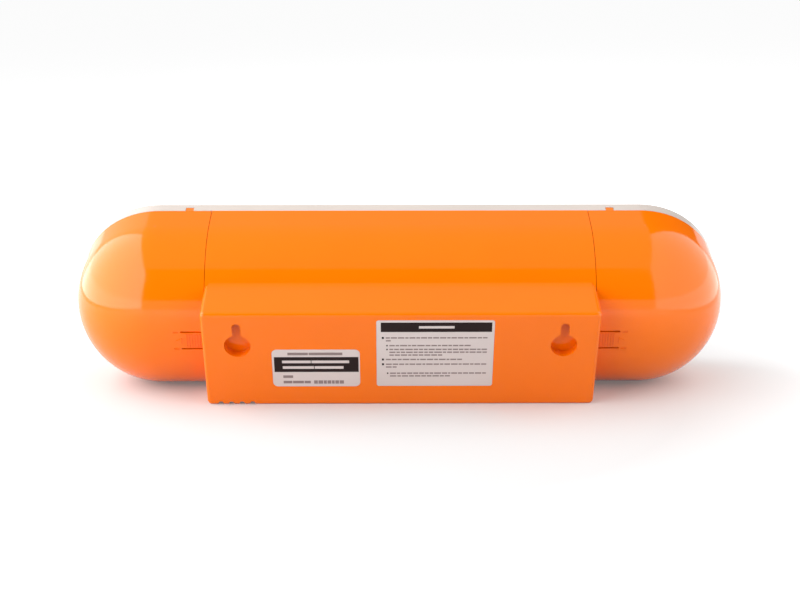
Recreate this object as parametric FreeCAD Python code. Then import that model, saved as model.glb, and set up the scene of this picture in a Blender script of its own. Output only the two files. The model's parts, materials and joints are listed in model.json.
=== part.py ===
"""Battery clock with an analogue dial and a flip calendar, for a wall or a desk.

The body is a lying capsule with a flat front. A box behind it carries two keyholes
for a wall, and its sloping underside is the foot that stands the clock on a desk,
with its face tilted back. Both round ends are caps that slide off sideways.

Everything is drawn upright, in the face's own frame: X to the right as seen from the
front, Y to the rear, Z up, with the origin on the capsule's axis. The last step tilts
each piece back onto the foot, and puts the origin at the middle of the foot.
Lengths are in millimetres and angles in degrees.
"""

import FreeCAD
import Part
import math
import os

Vector = FreeCAD.Vector

# Body: its length follows from the calendar's three columns and the room at both ends
body_radius = 55.25
body_wall = 2.5
parting_y = -18.0
cap_straight_length = 33.75
seam_gap = 0.35
stand_tilt = 20.5
dial_to_columns = 50.75
columns_to_end_centre = 42.75

# Box behind the body
box_top_z = 37.0
box_rear_y = 72.0
box_low_corner_radius = 3.0
box_top_corner_radius = 2.5
box_edge_radius = 2.4
box_root_radius = 5.0

# Keyholes
keyhole_from_seam = 21.5
keyhole_z = 13.2
keyhole_entry_radius = 8.1
keyhole_slot_radius = 2.6
keyhole_slot_top_z = 29.7
keyhole_pocket_depth = 3.9
keyhole_pocket_wall = 2.0
keyhole_pocket_margin = 0.3

# Finger grooves under the box's rear edge
groove_count = 4
groove_first_from_seam = 28.4
groove_pitch = 6.6
groove_mouth = 4.4
groove_bottom = 1.8
groove_depth = 2.1
groove_run = 16.0
groove_floor = 2.0

# Labels, each as its centre across and up the rear face and its size
label_thickness = 0.2
label_recess = 0.25
label_clearance = 0.1
rating_label = {"x": 52.0, "z": -3.7, "width": 54.0, "height": 28.4, "corner": 3.2}
notice_label = {"x": -21.0, "z": 7.3, "width": 71.6, "height": 50.0, "corner": 1.6}

# Lip that the end caps slide over
lip_thickness = 1.8
lip_clearance = 0.35
lip_reach = 7.0
lip_root = 6.0

# End caps
cap_wall = 2.3
cap_front_gap = 0.3
tongue_z = 4.9
tongue_height = 10.7
tongue_length = 15.5
slit_width = 1.1
slit_fade_gap = 1.2
slit_fade_length = 3.4
slit_fade_depth = 0.5
rib_count = 6
rib_pitch = 1.65
rib_width = 0.8
rib_proud = 0.5
rib_first_from_seam = 3.4
rib_height = 9.6
arrow_from_seam = 15.0
arrow_length = 3.6
arrow_half_height = 2.0

# Front frame, lens and face panel
bezel_depth = 8.5
bezel_wall = 2.5
bezel_flange = 2.5
bezel_opening_radius = 46.5
bezel_outer_round = 1.4
bezel_inner_round = 0.8
lens_thickness = 2.0
panel_thickness = 1.6
insert_clearance = 0.25
reveal_wall = 1.2
reveal_clearance = 1.0

# Chassis behind the face panel
chassis_clearance = 0.45
chassis_rim_wall = 2.1
chassis_plate_front_y = -15.5
chassis_plate_thickness = 2.0
chassis_bar_half_width = 1.5
hook_from_seam = 14.6
hook_width = 4.9
hook_length = 3.7
hook_sink = 0.25
hook_clearance = 0.15
screw_from_seam = 4.5
screw_z = 42.0
screw_radius = 1.5
screw_head_radius = 3.0
screw_head_height = 1.8
screw_slot_width = 0.8
screw_slot_depth = 0.9
screw_length = 12.0
screw_hole_clearance = 0.06
boss_radius = 3.9

# Analogue dial, concentric with the left end
dial_radius = 43.0
dial_opening_radius = 41.0
dial_thickness = 1.0
dial_ring_gap = 0.1
hand_thickness = 0.4
hour_hand_length = 25.0
hour_hand_tail = 6.0
hour_hub_radius = 4.2
minute_hand_length = 36.0
minute_hand_tail = 8.0
minute_hub_radius = 3.2
second_hand_length = 37.5
second_hand_tail = 10.0
second_hub_radius = 1.9
second_cap_radius = 1.2
second_cap_height = 0.5
hour_hand_front_y = -18.4
minute_hand_front_y = -19.4
second_hand_front_y = -20.5
hour_hand_angle = 305.0
minute_hand_angle = 54.0
second_hand_angle = 180.0

# Movement behind the dial
movement_size = 56.0
movement_depth = 15.0
movement_wall = 1.2
movement_cover_thickness = 1.5
movement_corner_radius = 3.0
post_radius = 4.0
post_bore = 3.4
post_clearance = 0.2
post_length = 4.1
nut_across_flats = 11.0
nut_height = 1.1
hour_tube_outer = 3.32
hour_tube_bore = 2.2
hour_nose_radius = 2.6
minute_tube_outer = 2.12
minute_tube_bore = 0.75
minute_nose_radius = 1.1
second_pin_radius = 0.68
running_clearance = 0.06
coil_radius = 3.6
coil_half_length = 10.0
coil_core_half = 2.0
coil_core_reach = 14.0
coil_clearance = 0.7
movement_board_width = 36.0
movement_board_height = 13.0
movement_board_thickness = 1.6
movement_board_margin = 4.0
movement_chip_size = 6.0
crystal_radius = 1.5
crystal_length = 8.0

# Gear teeth: heights in modules, and half widths as shares of the tooth pitch
tooth_tip_share = 0.75
tooth_root_share = 1.05
root_half_share = 0.27
pitch_half_share = 0.19
tip_half_share = 0.09

# Motion work, which turns the hour hand twelve times slower
motion_module = 0.5
minute_pinion_teeth = 10
idler_wheel_teeth = 30
idler_pinion_teeth = 8
hour_wheel_teeth = 32
knob_pinion_teeth = 12
second_wheel_teeth = 40
hour_plane_y = -11.6
minute_plane_y = -9.4
second_plane_y = -6.6
gear_thickness = 1.0
idler_direction = 125.0
knob_direction = 20.0
arbor_radius = 0.8
stem_radius = 1.2
knob_gap = 0.6
setting_knob_radius = 7.0
setting_knob_height = 5.5
setting_knob_flutes = 16
knob_side_gap = 0.8
knob_bridge_gap = 1.7

# Cells
small_cell_radius = 7.25
small_cell_length = 50.5
small_cell_nub_radius = 2.75
small_cell_nub_height = 1.2
large_cell_radius = 13.1
large_cell_length = 50.0
large_cell_nub_radius = 3.2
large_cell_nub_height = 1.6
large_cell_from_seam = 21.6
large_cell_pitch = 28.6
cell_clearance = 0.3
cell_edge_radius = 0.6
tray_side_height = 2.0
bridge_height = 5.5
contact_half_depth = 3.5
contact_pip_radius = 1.6
tray_wall = 1.5
tray_end_room = 2.4
contact_thickness = 0.4

# Flip calendar: three drums on one shaft, left to right month, date and day
column_names = ("month", "date", "day")
month_leaf_count = 24
date_leaf_count = 31
day_leaf_count = 28
leaf_width = 64.0
column_margin = 8.0
window_side_margin = 1.0
window_height = 58.0
leaf_height = 27.0
leaf_thickness = 0.2
leaf_plane_y = 7.0
leaf_split = 0.6
hinge_radius = 12.0
hinge_pin_radius = 0.4
hinge_pin_reach = 0.9
drum_hub_radius = 7.0
drum_disc_radius = 13.5
drum_disc_thickness = 1.5
drum_groove_depth = 0.9
drum_groove_half_width = 0.6
drum_disc_gap = 0.2
drum_end_play = 0.15
shaft_radius = 1.5
shaft_end_length = 1.5
frame_plate_thickness = 1.5
frame_top_z = 31.0
frame_bottom_z = -32.0
frame_outer_rear_y = 56.0
frame_inner_rear_y = 66.0
frame_step_low_z = -3.0
frame_step_high_z = 4.0
frame_hole_radius = 6.0
frame_hole_y = -2.0
frame_hole_z = 20.0
tie_rod_radius = 1.5
tie_rod_places = [(46.0, 26.0), (46.0, -28.0)]
catch_width = 6.0
catch_thickness = 0.5
catch_gap = 0.25
catch_foot = 4.0
setting_wheel_radius = 11.0
setting_wheel_width = 5.0
setting_wheel_from_seam = 1.5
setting_wheel_flutes = 28
sleeve_radius = 3.2

# Drive from the motor to the date drum
drive_module = 0.8
drum_gear_teeth = 36
reduction_gear_teeth = 32
motor_pinion_teeth = 12
drive_gear_width = 1.2
reduction_direction = -20.0
motor_direction = -32.0
motor_radius = 9.0
motor_length = 27.0
motor_boss_radius = 3.5
motor_shaft_radius = 1.0
reduction_pin_radius = 1.5
bracket_half_width = 5.0
bracket_thickness = 1.0

# Control board and its switch
board_width = 34.0
board_height = 15.5
board_thickness = 1.6
board_from_seam = 7.5
board_top_z = -28.8
board_front_y = 8.0
board_post_radius = 2.2
board_post_inset = 4.0
board_chip_size = 8.0
board_chip_height = 1.6
board_chip_inset = 5.0
board_edge_margin = 1.9
capacitor_radius = 2.6
capacitor_height = 7.0
switch_from_board_left = 13.5
switch_width = 13.0
switch_floor = 1.5
switch_height = 6.0
switch_depth = 4.5
switch_slot_width = 9.4
switch_slot_height = 2.4
switch_knob_width = 2.2
switch_knob_reach = 3.2

# How far cutting shapes run past what they cut, and how far joined walls run into each other
cut_margin = 1.0
wall_overlap = 0.3

# Wiring
wire_radius = 0.6
wire_spacing = 2.4
wire_turn_from_columns = 6.0
wire_lip_y = 38.0
wire_drop = 5.0
wire_hole_radius = 3.0

# Sizes worked out from the values above
leaf_counts = dict(zip(column_names, (month_leaf_count, date_leaf_count, day_leaf_count)))
column_pitch = leaf_width + column_margin
columns_width = len(column_names) * column_pitch
centre_x = (dial_to_columns + columns_width + columns_to_end_centre) / 2
dial_x = -centre_x
columns_left = dial_x + dial_to_columns
columns_right = columns_left + columns_width
column_centres = {name: columns_left + (i + 0.5) * column_pitch for i, name in enumerate(column_names)}
window_width = leaf_width + 2 * window_side_margin
seam_x = centre_x - cap_straight_length
keyhole_x = seam_x - keyhole_from_seam
groove_first_x = seam_x - groove_first_from_seam
rib_first_x = seam_x + rib_first_from_seam
arrow_base_x = seam_x + arrow_from_seam
hook_x = seam_x + hook_from_seam
screw_x = seam_x - screw_from_seam
large_cell_first_x = seam_x + large_cell_from_seam
setting_wheel_x = seam_x + setting_wheel_from_seam
board_left_x = seam_x + board_from_seam
wire_turn_x = columns_right - wire_turn_from_columns
front_y = parting_y - bezel_depth
tilt = math.radians(stand_tilt)
lens_front_y = front_y + bezel_flange
panel_front_y = lens_front_y + lens_thickness
panel_rear_y = panel_front_y + panel_thickness
bezel_bore_radius = body_radius - bezel_wall
chassis_radius = bezel_bore_radius - chassis_clearance
chassis_rear_y = chassis_plate_front_y + chassis_plate_thickness
dial_front_y = chassis_plate_front_y - dial_thickness
drum_axis_y = leaf_plane_y + hinge_radius
drum_inner_x = leaf_width / 2 + drum_disc_gap
drum_outer_x = drum_inner_x + drum_disc_thickness
drum_collar_x = column_pitch / 2 - frame_plate_thickness / 2 - drum_end_play
movement_rear_y = chassis_rear_y + movement_depth
cap_inner_radius = body_radius - cap_wall
lip_radius = cap_inner_radius - lip_clearance
foot_front_y = body_radius * math.sin(tilt)


def foot_z(y, radius=body_radius):
    """Height of the foot's plane, or of one inside it, at depth y."""
    return (y * math.sin(tilt) - radius) / math.cos(tilt)


foot_rear = Vector(0, box_rear_y, foot_z(box_rear_y))
foot_middle = Vector(0, (foot_front_y + box_rear_y) / 2, foot_z((foot_front_y + box_rear_y) / 2))


# Placing a piece on the foot


def stand_up(shape):
    """Tilts a shape of the upright frame onto the foot."""
    placed = shape.copy()
    placed.translate(foot_middle.negative())
    placed.rotate(Vector(0, 0, 0), Vector(1, 0, 0), -stand_tilt)
    return placed


# Plain shapes


def block(x, y, z):
    """Box between two limits on each axis."""
    size = (x[1] - x[0], y[1] - y[0], z[1] - z[0])
    return Part.makeBox(*size, Vector(x[0], y[0], z[0]))


def rod_x(radius, x, y, z):
    """Round bar along X between two limits, at depth y and height z."""
    return Part.makeCylinder(radius, x[1] - x[0], Vector(x[0], y, z), Vector(1, 0, 0))


def rod_y(radius, x, y, z):
    """Round bar along Y between two limits."""
    return Part.makeCylinder(radius, y[1] - y[0], Vector(x, y[0], z), Vector(0, 1, 0))


def rod_z(radius, x, y, z):
    """Round bar along Z between two limits."""
    return Part.makeCylinder(radius, z[1] - z[0], Vector(x, y, z[0]), Vector(0, 0, 1))


def tube_x(outer, inner, x, y, z):
    """Round tube along X."""
    return rod_x(outer, x, y, z).cut(rod_x(inner, x, y, z))


def tube_y(outer, inner, x, y, z):
    """Round tube along Y."""
    return rod_y(outer, x, y, z).cut(rod_y(inner, x, y, z))


def prism_x(points, x):
    """Straight-sided outline of (y, z) points, carried along X."""
    corners = [Vector(x[0], y, z) for y, z in points]
    face = Part.Face(Part.makePolygon(corners + corners[:1]))
    return face.extrude(Vector(x[1] - x[0], 0, 0))


def prism_y(points, y):
    """Straight-sided outline of (x, z) points, carried along Y."""
    corners = [Vector(x, y[0], z) for x, z in points]
    face = Part.Face(Part.makePolygon(corners + corners[:1]))
    return face.extrude(Vector(0, y[1] - y[0], 0))


def stadium(radius, y):
    """Solid with the front's outline: two straight sides and two half rounds."""
    low = [Vector(-centre_x, y[0], -radius), Vector(centre_x, y[0], -radius)]
    high = [Vector(centre_x, y[0], radius), Vector(-centre_x, y[0], radius)]
    right = Part.Arc(low[1], Vector(centre_x + radius, y[0], 0), high[0])
    left = Part.Arc(high[1], Vector(-centre_x - radius, y[0], 0), low[0])
    edges = [Part.LineSegment(*low), right, Part.LineSegment(*high), left]
    face = Part.Face(Part.Wire([edge.toShape() for edge in edges]))
    return face.extrude(Vector(0, y[1] - y[0], 0))


def body_section(radius, first_y, x):
    """Half round behind the axis and straight in front of it, carried along X."""
    top = Vector(x[0], 0, radius)
    bottom = Vector(x[0], 0, -radius)
    front_top = Vector(x[0], first_y, radius)
    front_bottom = Vector(x[0], first_y, -radius)
    edges = [
        Part.LineSegment(front_top, top),
        Part.Arc(top, Vector(x[0], radius, 0), bottom),
        Part.LineSegment(bottom, front_bottom),
        Part.LineSegment(front_bottom, front_top),
    ]
    face = Part.Face(Part.Wire([edge.toShape() for edge in edges]))
    return face.extrude(Vector(x[1] - x[0], 0, 0))


def rounded_plate(place, y, grow=0.0):
    """Flat plate with rounded corners, such as a label, grown on all sides."""
    half_width = place["width"] / 2 + grow
    half_height = place["height"] / 2 + grow
    across = (place["x"] - half_width, place["x"] + half_width)
    up = (place["z"] - half_height, place["z"] + half_height)
    plate = block(across, y, up)
    upright = [e for e in plate.Edges if abs(e.BoundBox.YLength - (y[1] - y[0])) < 1e-6]
    return plate.makeFillet(place["corner"] + grow, upright)


def edges_at(shape, test):
    """Edges whose middle point passes a test."""
    return [e for e in shape.Edges if test(e.BoundBox.Center, e.BoundBox)]


def joined(first, *others):
    """One solid from several that touch or overlap."""
    return first.fuse(list(others)).removeSplitter()


def mirrored(shape):
    """The same piece on the other side of the clock."""
    return shape.mirror(Vector(0, 0, 0), Vector(1, 0, 0))


# Gears


def gear_outline(teeth, module, phase):
    """Tooth corners of a spur gear as (angle, radius): thin teeth, so that gears run free."""
    pitch_radius = teeth * module / 2
    tip = pitch_radius + tooth_tip_share * module
    root = pitch_radius - tooth_root_share * module
    step = 360.0 / teeth
    corners = []
    for tooth in range(teeth):
        middle = phase + tooth * step
        left = ((-root_half_share, root), (-pitch_half_share, pitch_radius), (-tip_half_share, tip))
        right = ((tip_half_share, tip), (pitch_half_share, pitch_radius), (root_half_share, root))
        for share, radius in left + right:
            corners.append((middle + share * step, radius))
    return corners


def gear_x(teeth, module, phase, x, y, z):
    """Spur gear whose axis runs along X. Angles go from Y towards Z."""
    points = []
    for angle, radius in gear_outline(teeth, module, phase):
        turn = math.radians(angle)
        points.append((y + radius * math.cos(turn), z + radius * math.sin(turn)))
    return prism_x(points, x)


def gear_y(teeth, module, phase, x, y, z):
    """Spur gear whose axis runs along Y. Angles go from X towards Z."""
    points = []
    for angle, radius in gear_outline(teeth, module, phase):
        turn = math.radians(angle)
        points.append((x + radius * math.cos(turn), z + radius * math.sin(turn)))
    return prism_y(points, y)


def meshing_phase(teeth, phase, direction, other_teeth):
    """Phase of the other gear, lying in a direction, that puts its gap on this one's tooth."""
    passed = teeth * (direction - phase) / 360.0
    return direction + 180.0 - (0.5 - passed) * 360.0 / other_teeth


def fluted_knob(radius, height, flutes, axis, base):
    """Round knob with grip flutes round its edge."""
    knob = Part.makeCylinder(radius, height, base, axis)
    side = Vector(0, 0, 1)
    flute_radius = math.pi * radius / flutes / 2
    cutters = []
    for index in range(flutes):
        turned = FreeCAD.Rotation(axis, index * 360.0 / flutes).multVec(side)
        cutters.append(Part.makeCylinder(flute_radius, height, base + turned * radius, axis))
    return knob.cut(cutters)


# Housing


def box_shape(grow):
    """The box behind the body, moved inwards on every wall by minus grow."""
    radius = body_radius + grow
    rear = box_rear_y + grow
    first = radius * math.sin(tilt)
    half = seam_x + grow
    outline = [
        (first, foot_z(first, radius)),
        (rear, foot_z(rear, radius)),
        (rear, box_top_z + grow),
        (first, box_top_z + grow),
    ]
    return prism_x(outline, (-half, half))


def rounded_box():
    """The box with its outer edges rounded, the lower side corners most."""
    shape = box_shape(0.0)
    middle_z = (box_top_z + foot_rear.z) / 2

    def side_edge(middle, bounds):
        return bounds.XLength < 1e-6 and bounds.YLength > 1.0 and abs(middle.x) > 1.0

    low = edges_at(shape, lambda m, b: side_edge(m, b) and m.z < middle_z)
    shape = shape.makeFillet(box_low_corner_radius, low)
    high = edges_at(shape, lambda m, b: side_edge(m, b) and m.z > box_top_z - 0.01)
    shape = shape.makeFillet(box_top_corner_radius, high)
    rear = edges_at(shape, lambda m, b: b.YMin > box_rear_y - 0.01)
    return shape.makeFillet(box_edge_radius, rear)


def box_root():
    """Hollow rounding where the box's top runs into the round body."""
    reach = body_radius + box_root_radius
    centre_z = box_top_z + box_root_radius
    centre_y = math.sqrt(reach**2 - centre_z**2)
    touch = body_radius / reach
    low_z = box_top_z - wall_overlap
    outline = [
        (centre_y, low_z),
        (centre_y, centre_z),
        (centre_y * touch, centre_z * touch),
        (centre_y * touch, low_z),
    ]
    half = seam_x - box_top_corner_radius
    strip = prism_x(outline, (-half, half))
    return strip.cut(rod_x(box_root_radius, (-seam_x, seam_x), centre_y, centre_z))


def keyhole(side):
    """Opening of one keyhole through the rear wall."""
    x = side * keyhole_x
    depth = (box_rear_y - body_wall - cut_margin, box_rear_y + cut_margin)
    slot_centre_z = keyhole_slot_top_z - keyhole_slot_radius
    entry = rod_y(keyhole_entry_radius, x, depth, keyhole_z)
    across = (x - keyhole_slot_radius, x + keyhole_slot_radius)
    slot = block(across, depth, (keyhole_z, slot_centre_z))
    end = rod_y(keyhole_slot_radius, x, depth, slot_centre_z)
    return joined(entry, slot, end)


def keyhole_pocket(side, grow):
    """Blind cup behind one keyhole, for the screw's head, grown by the wall."""
    cup_radius = keyhole_entry_radius + keyhole_pocket_margin
    top_centre_z = box_top_z - body_wall - cup_radius
    radius = cup_radius + grow
    x = side * keyhole_x
    depth = (box_rear_y - body_wall - keyhole_pocket_depth - grow, box_rear_y - body_wall)
    low_end = rod_y(radius, x, depth, keyhole_z)
    straight = block((x - radius, x + radius), depth, (keyhole_z, top_centre_z))
    top_end = rod_y(radius, x, depth, top_centre_z)
    return joined(low_end, straight, top_end)


def finger_grooves():
    """Grooves across the foot at its rear edge."""
    cutters = []
    for index in range(groove_count):
        middle = groove_first_x + index * groove_pitch
        floor = [
            Vector(middle - groove_mouth / 2, 0, 0),
            Vector(middle + groove_mouth / 2, 0, 0),
            Vector(middle + groove_bottom / 2, 0, groove_depth),
            Vector(middle - groove_bottom / 2, 0, groove_depth),
        ]
        face = Part.Face(Part.makePolygon(floor + floor[:1]))
        cutter = face.extrude(Vector(0, 2 * groove_run, 0))
        cutter.translate(Vector(0, -groove_run, 0))
        cutter.rotate(Vector(0, 0, 0), Vector(1, 0, 0), stand_tilt)
        cutter.translate(Vector(0, foot_rear.y, foot_rear.z))
        cutters.append(cutter)
    return cutters


def groove_pad():
    """Thicker floor inside the box, over the grooves."""
    rear = box_rear_y - body_wall
    front = rear - groove_run
    inner = body_radius - body_wall + wall_overlap
    raised = body_radius - body_wall - groove_floor
    outline = [
        (front, foot_z(front, inner)),
        (rear, foot_z(rear, inner)),
        (rear, foot_z(rear, raised)),
        (front, foot_z(front, raised)),
    ]
    last = groove_first_x + (groove_count - 1) * groove_pitch + groove_mouth / 2
    return prism_x(outline, (groove_first_x - groove_mouth, last))


def end_lip():
    """Ring inside the right-hand seam, which the end cap slides over."""
    first = chassis_rear_y + lip_clearance
    bore = lip_radius - lip_thickness
    root = body_section(body_radius - body_wall + wall_overlap, first, (seam_x - lip_root, seam_x))
    reach = body_section(lip_radius, first, (seam_x, seam_x + lip_reach))
    across = (seam_x - lip_root - cut_margin, seam_x + lip_reach + cut_margin)
    hollow = body_section(bore, first - cut_margin, across)
    return joined(root, reach).cut(hollow)


def screw_boss(side, up):
    """Post that takes one chassis screw, rooted in the shell."""
    post = rod_y(boss_radius, side * screw_x, (chassis_rear_y, body_radius), up * screw_z)
    room = body_section(body_radius - body_wall / 2, parting_y, (-seam_x, seam_x))
    return post.common(room)


def screw_hole(side, up, radius):
    """Hole for one chassis screw, through the chassis and into its boss."""
    reach = (chassis_plate_front_y - cut_margin, chassis_plate_front_y + screw_length + cut_margin)
    return rod_y(radius, side * screw_x, reach, up * screw_z)


def corners():
    """Signs of the four screw places."""
    return [(side, up) for side in (-1, 1) for up in (-1, 1)]


def make_rear_housing():
    """Middle shell and box as one moulding."""
    outer = body_section(body_radius, parting_y, (-seam_x, seam_x))
    outer = joined(joined(outer, rounded_box()), box_root())
    inner_radius = body_radius - body_wall
    hollow = body_section(inner_radius, parting_y - cut_margin, (-seam_x - cut_margin, seam_x + cut_margin))
    shell = outer.cut([hollow, box_shape(-body_wall)])
    pockets = [keyhole_pocket(side, keyhole_pocket_wall) for side in (-1, 1)]
    bosses = [screw_boss(side, up) for side, up in corners()]
    lips = [end_lip(), mirrored(end_lip())]
    shell = joined(shell, *pockets, *bosses, *lips, groove_pad())
    cutters = [keyhole(side) for side in (-1, 1)]
    cutters += [keyhole_pocket(side, 0.0) for side in (-1, 1)]
    cutters += finger_grooves()
    hole_radius = screw_radius + screw_hole_clearance
    cutters += [screw_hole(side, up, hole_radius) for side, up in corners()]
    recess = (box_rear_y - label_recess, box_rear_y + cut_margin)
    cutters += [rounded_plate(place, recess, label_clearance) for place in (rating_label, notice_label)]
    return shell.cut(cutters).removeSplitter()


def cap_solid(radius, first_x, first_y):
    """Solid right-hand end: straight run, quarter ball and the part in front of the axis."""
    straight = body_section(radius, first_y, (first_x, centre_x))
    top = Vector(centre_x, 0, radius)
    bottom = Vector(centre_x, 0, -radius)
    half_round = [
        Part.Arc(top, Vector(centre_x, radius, 0), bottom).toShape(),
        Part.LineSegment(bottom, top).toShape(),
    ]
    half_disc = Part.Face(Part.Wire(half_round))
    ball = half_disc.revolve(Vector(centre_x, 0, 0), Vector(0, 0, 1), -90)
    beyond = block((centre_x, centre_x + radius), (first_y, 0), (-radius, radius))
    round_front = rod_y(radius, centre_x, (first_y, 0), 0).common(beyond)
    return joined(straight, ball, round_front)


def tongue_cuts():
    """Slits above and below the springy tongue, with a shallow run-out."""
    cutters = []
    for sign in (-1, 1):
        middle = tongue_z + sign * (tongue_height + slit_width) / 2
        up = (middle - slit_width / 2, middle + slit_width / 2)
        through = (seam_x - cut_margin, seam_x + tongue_length)
        cutters.append(block(through, (0, body_radius + cut_margin), up))
        fade_start = seam_x + tongue_length + slit_fade_gap
        fade = (fade_start, fade_start + slit_fade_length)
        ring = tube_x(body_radius + cut_margin, body_radius - slit_fade_depth, fade, 0, 0)
        cutters.append(ring.common(block(fade, (0, body_radius + cut_margin), up)))
    return cutters


def tongue_marks():
    """Grip ribs and an arrow that points outwards, raised from the cap's surface."""
    outer = body_radius + rib_proud
    inner = body_radius - cap_wall / 2
    half = rib_height / 2
    marks = []
    for index in range(rib_count):
        first = rib_first_x + index * rib_pitch
        across = (first, first + rib_width)
        window = block(across, (0, outer + cut_margin), (tongue_z - half, tongue_z + half))
        marks.append(tube_x(outer, inner, across, 0, 0).common(window))
    tip = (arrow_base_x + arrow_length, tongue_z)
    base = [(arrow_base_x, tongue_z - arrow_half_height), (arrow_base_x, tongue_z + arrow_half_height)]
    pointer = prism_y([tip, *base], (0, outer + cut_margin))
    across = (arrow_base_x, arrow_base_x + arrow_length)
    marks.append(tube_x(outer, inner, across, 0, 0).common(pointer))
    return marks


def make_right_end_cap():
    """Right-hand cap, a thin shell with its latch tongue."""
    outer = cap_solid(body_radius, seam_x + seam_gap, parting_y + cap_front_gap)
    inner = cap_solid(cap_inner_radius, seam_x - cut_margin, parting_y - cut_margin)
    shell = outer.cut(inner).cut(tongue_cuts())
    return joined(shell, *tongue_marks())


# Front


def hook_block(side, up, grow):
    """One hook of the chassis, which shows in the front frame's edge."""
    x = side * hook_x
    half = hook_width / 2 + grow
    high = body_radius - hook_sink + 4.0 * grow
    low, top = sorted((up * (bezel_bore_radius + hook_clearance - grow), up * high))
    depth = (parting_y - hook_length - grow, parting_y - hook_sink + 2.0 * grow)
    claw = block((x - half, x + half), depth, (low, top))
    low, top = sorted((up * (chassis_radius - chassis_rim_wall / 2), up * high))
    arm = block((x - half, x + half), (panel_rear_y + hook_clearance, depth[1]), (low, top))
    return joined(claw, arm)


def make_front_bezel():
    """Pale frame that holds the lens, open in the middle."""
    outer = stadium(body_radius, (front_y, parting_y))
    front_edges = edges_at(outer, lambda m, b: b.YMax < front_y + 0.01)
    outer = outer.makeFillet(bezel_outer_round, front_edges)
    ring = outer.cut(stadium(bezel_bore_radius, (lens_front_y, parting_y + cut_margin)))
    ring = ring.cut(stadium(bezel_opening_radius, (front_y - cut_margin, lens_front_y + cut_margin)))

    def opening_edge(middle, bounds):
        near = abs(middle.z) < bezel_opening_radius + 0.1
        within = bounds.ZMax < bezel_opening_radius + 0.1
        return bounds.YMax < front_y + 0.01 and near and within

    ring = ring.makeFillet(bezel_inner_round, edges_at(ring, opening_edge))
    return ring.cut([hook_block(side, up, hook_clearance) for side, up in corners()])


def make_lens():
    """Clear front sheet."""
    return stadium(bezel_bore_radius - insert_clearance, (lens_front_y, panel_front_y))


def window_block(centre, grow, y):
    """Space of one calendar window, grown on its sides."""
    half_width = window_width / 2 + grow
    half_height = window_height / 2 + grow
    return block((centre - half_width, centre + half_width), y, (-half_height, half_height))


def make_face_panel():
    """Dark panel with a round opening, three windows and the walls behind each."""
    panel = stadium(bezel_bore_radius - insert_clearance, (panel_front_y, panel_rear_y))
    gear_tip = (drum_gear_teeth / 2 + tooth_tip_share) * drive_module
    reveal_rear = drum_axis_y - gear_tip - reveal_clearance
    walls = []
    cutters = []
    for centre in column_centres.values():
        walls.append(window_block(centre, reveal_wall, (panel_rear_y, reveal_rear)))
        cutters.append(window_block(centre, 0.0, (panel_front_y - cut_margin, reveal_rear + cut_margin)))
    ring_radius = dial_opening_radius + reveal_wall
    walls.append(rod_y(ring_radius, dial_x, (panel_rear_y, dial_front_y - dial_ring_gap), 0))
    depth = (panel_front_y - cut_margin, dial_front_y + cut_margin)
    cutters.append(rod_y(dial_opening_radius, dial_x, depth, 0))
    return joined(panel, *walls).cut(cutters)


def make_chassis():
    """Inner frame: rim, plate with openings and the four hooks."""
    rim = stadium(chassis_radius, (panel_rear_y, chassis_rear_y))
    hollow = stadium(chassis_radius - chassis_rim_wall, (panel_rear_y - cut_margin, chassis_plate_front_y))
    hooks = [hook_block(side, up, 0.0) for side, up in corners()]
    frame = joined(rim.cut(hollow), *hooks)
    half_width = column_pitch / 2 - chassis_bar_half_width
    half_height = window_height / 2 + reveal_wall + reveal_clearance
    depth = (chassis_plate_front_y - cut_margin, chassis_rear_y + cut_margin)
    cutters = [rod_y(post_radius + post_clearance, dial_x, depth, 0)]
    for centre in column_centres.values():
        across = (centre - half_width, centre + half_width)
        cutters.append(block(across, depth, (-half_height, half_height)))
    hole_radius = screw_radius + screw_hole_clearance
    cutters += [screw_hole(side, up, hole_radius) for side, up in corners()]
    return frame.cut(cutters)


def make_chassis_screws():
    """Four pan-head screws that hold the chassis to the housing."""
    screws = []
    for side, up in corners():
        x = side * screw_x
        z = up * screw_z
        head_front = chassis_plate_front_y - screw_head_height
        head = rod_y(screw_head_radius, x, (head_front, chassis_plate_front_y), z)
        shank = rod_y(screw_radius, x, (chassis_plate_front_y, chassis_plate_front_y + screw_length), z)
        half_slot = screw_slot_width / 2
        reach = screw_head_radius + cut_margin
        depth = (head_front - cut_margin, head_front + screw_slot_depth)
        slot = block((x - half_slot, x + half_slot), depth, (z - reach, z + reach))
        screws.append(joined(head, shank).cut(slot))
    return Part.makeCompound(screws)


def make_label(place):
    """Thin sticker in its recess on the rear face."""
    seat = box_rear_y - label_recess
    return rounded_plate(place, (seat, seat + label_thickness))


# Dial, hands and movement


def make_clock_dial():
    """Dial sheet with a hole for the movement's post."""
    depth = (dial_front_y, chassis_plate_front_y)
    return tube_y(dial_radius, post_radius + post_clearance, dial_x, depth, 0)


def baton(root_half_width, tail, tip_half_width, length):
    """Outline of a plain hand that points up, a little wider at its tip."""
    low = [(-root_half_width, -tail), (root_half_width, -tail)]
    return low + [(tip_half_width, length), (-tip_half_width, length)]


def hand(outline, front, hub_radius, bore, angle):
    """Flat hand with a round hub, turned clockwise from twelve."""
    depth = (front, front + hand_thickness)
    blade = prism_y([(dial_x + x, z) for x, z in outline], depth)
    hub = rod_y(hub_radius, dial_x, depth, 0)
    flat = joined(blade, hub).cut(rod_y(bore, dial_x, (front - cut_margin, front + cut_margin), 0))
    flat.rotate(Vector(dial_x, 0, 0), Vector(0, 1, 0), angle)
    return flat


def make_hour_hand():
    """Broad short baton."""
    outline = baton(1.9, hour_hand_tail, 2.3, hour_hand_length)
    return hand(outline, hour_hand_front_y, hour_hub_radius, hour_nose_radius, hour_hand_angle)


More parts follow.
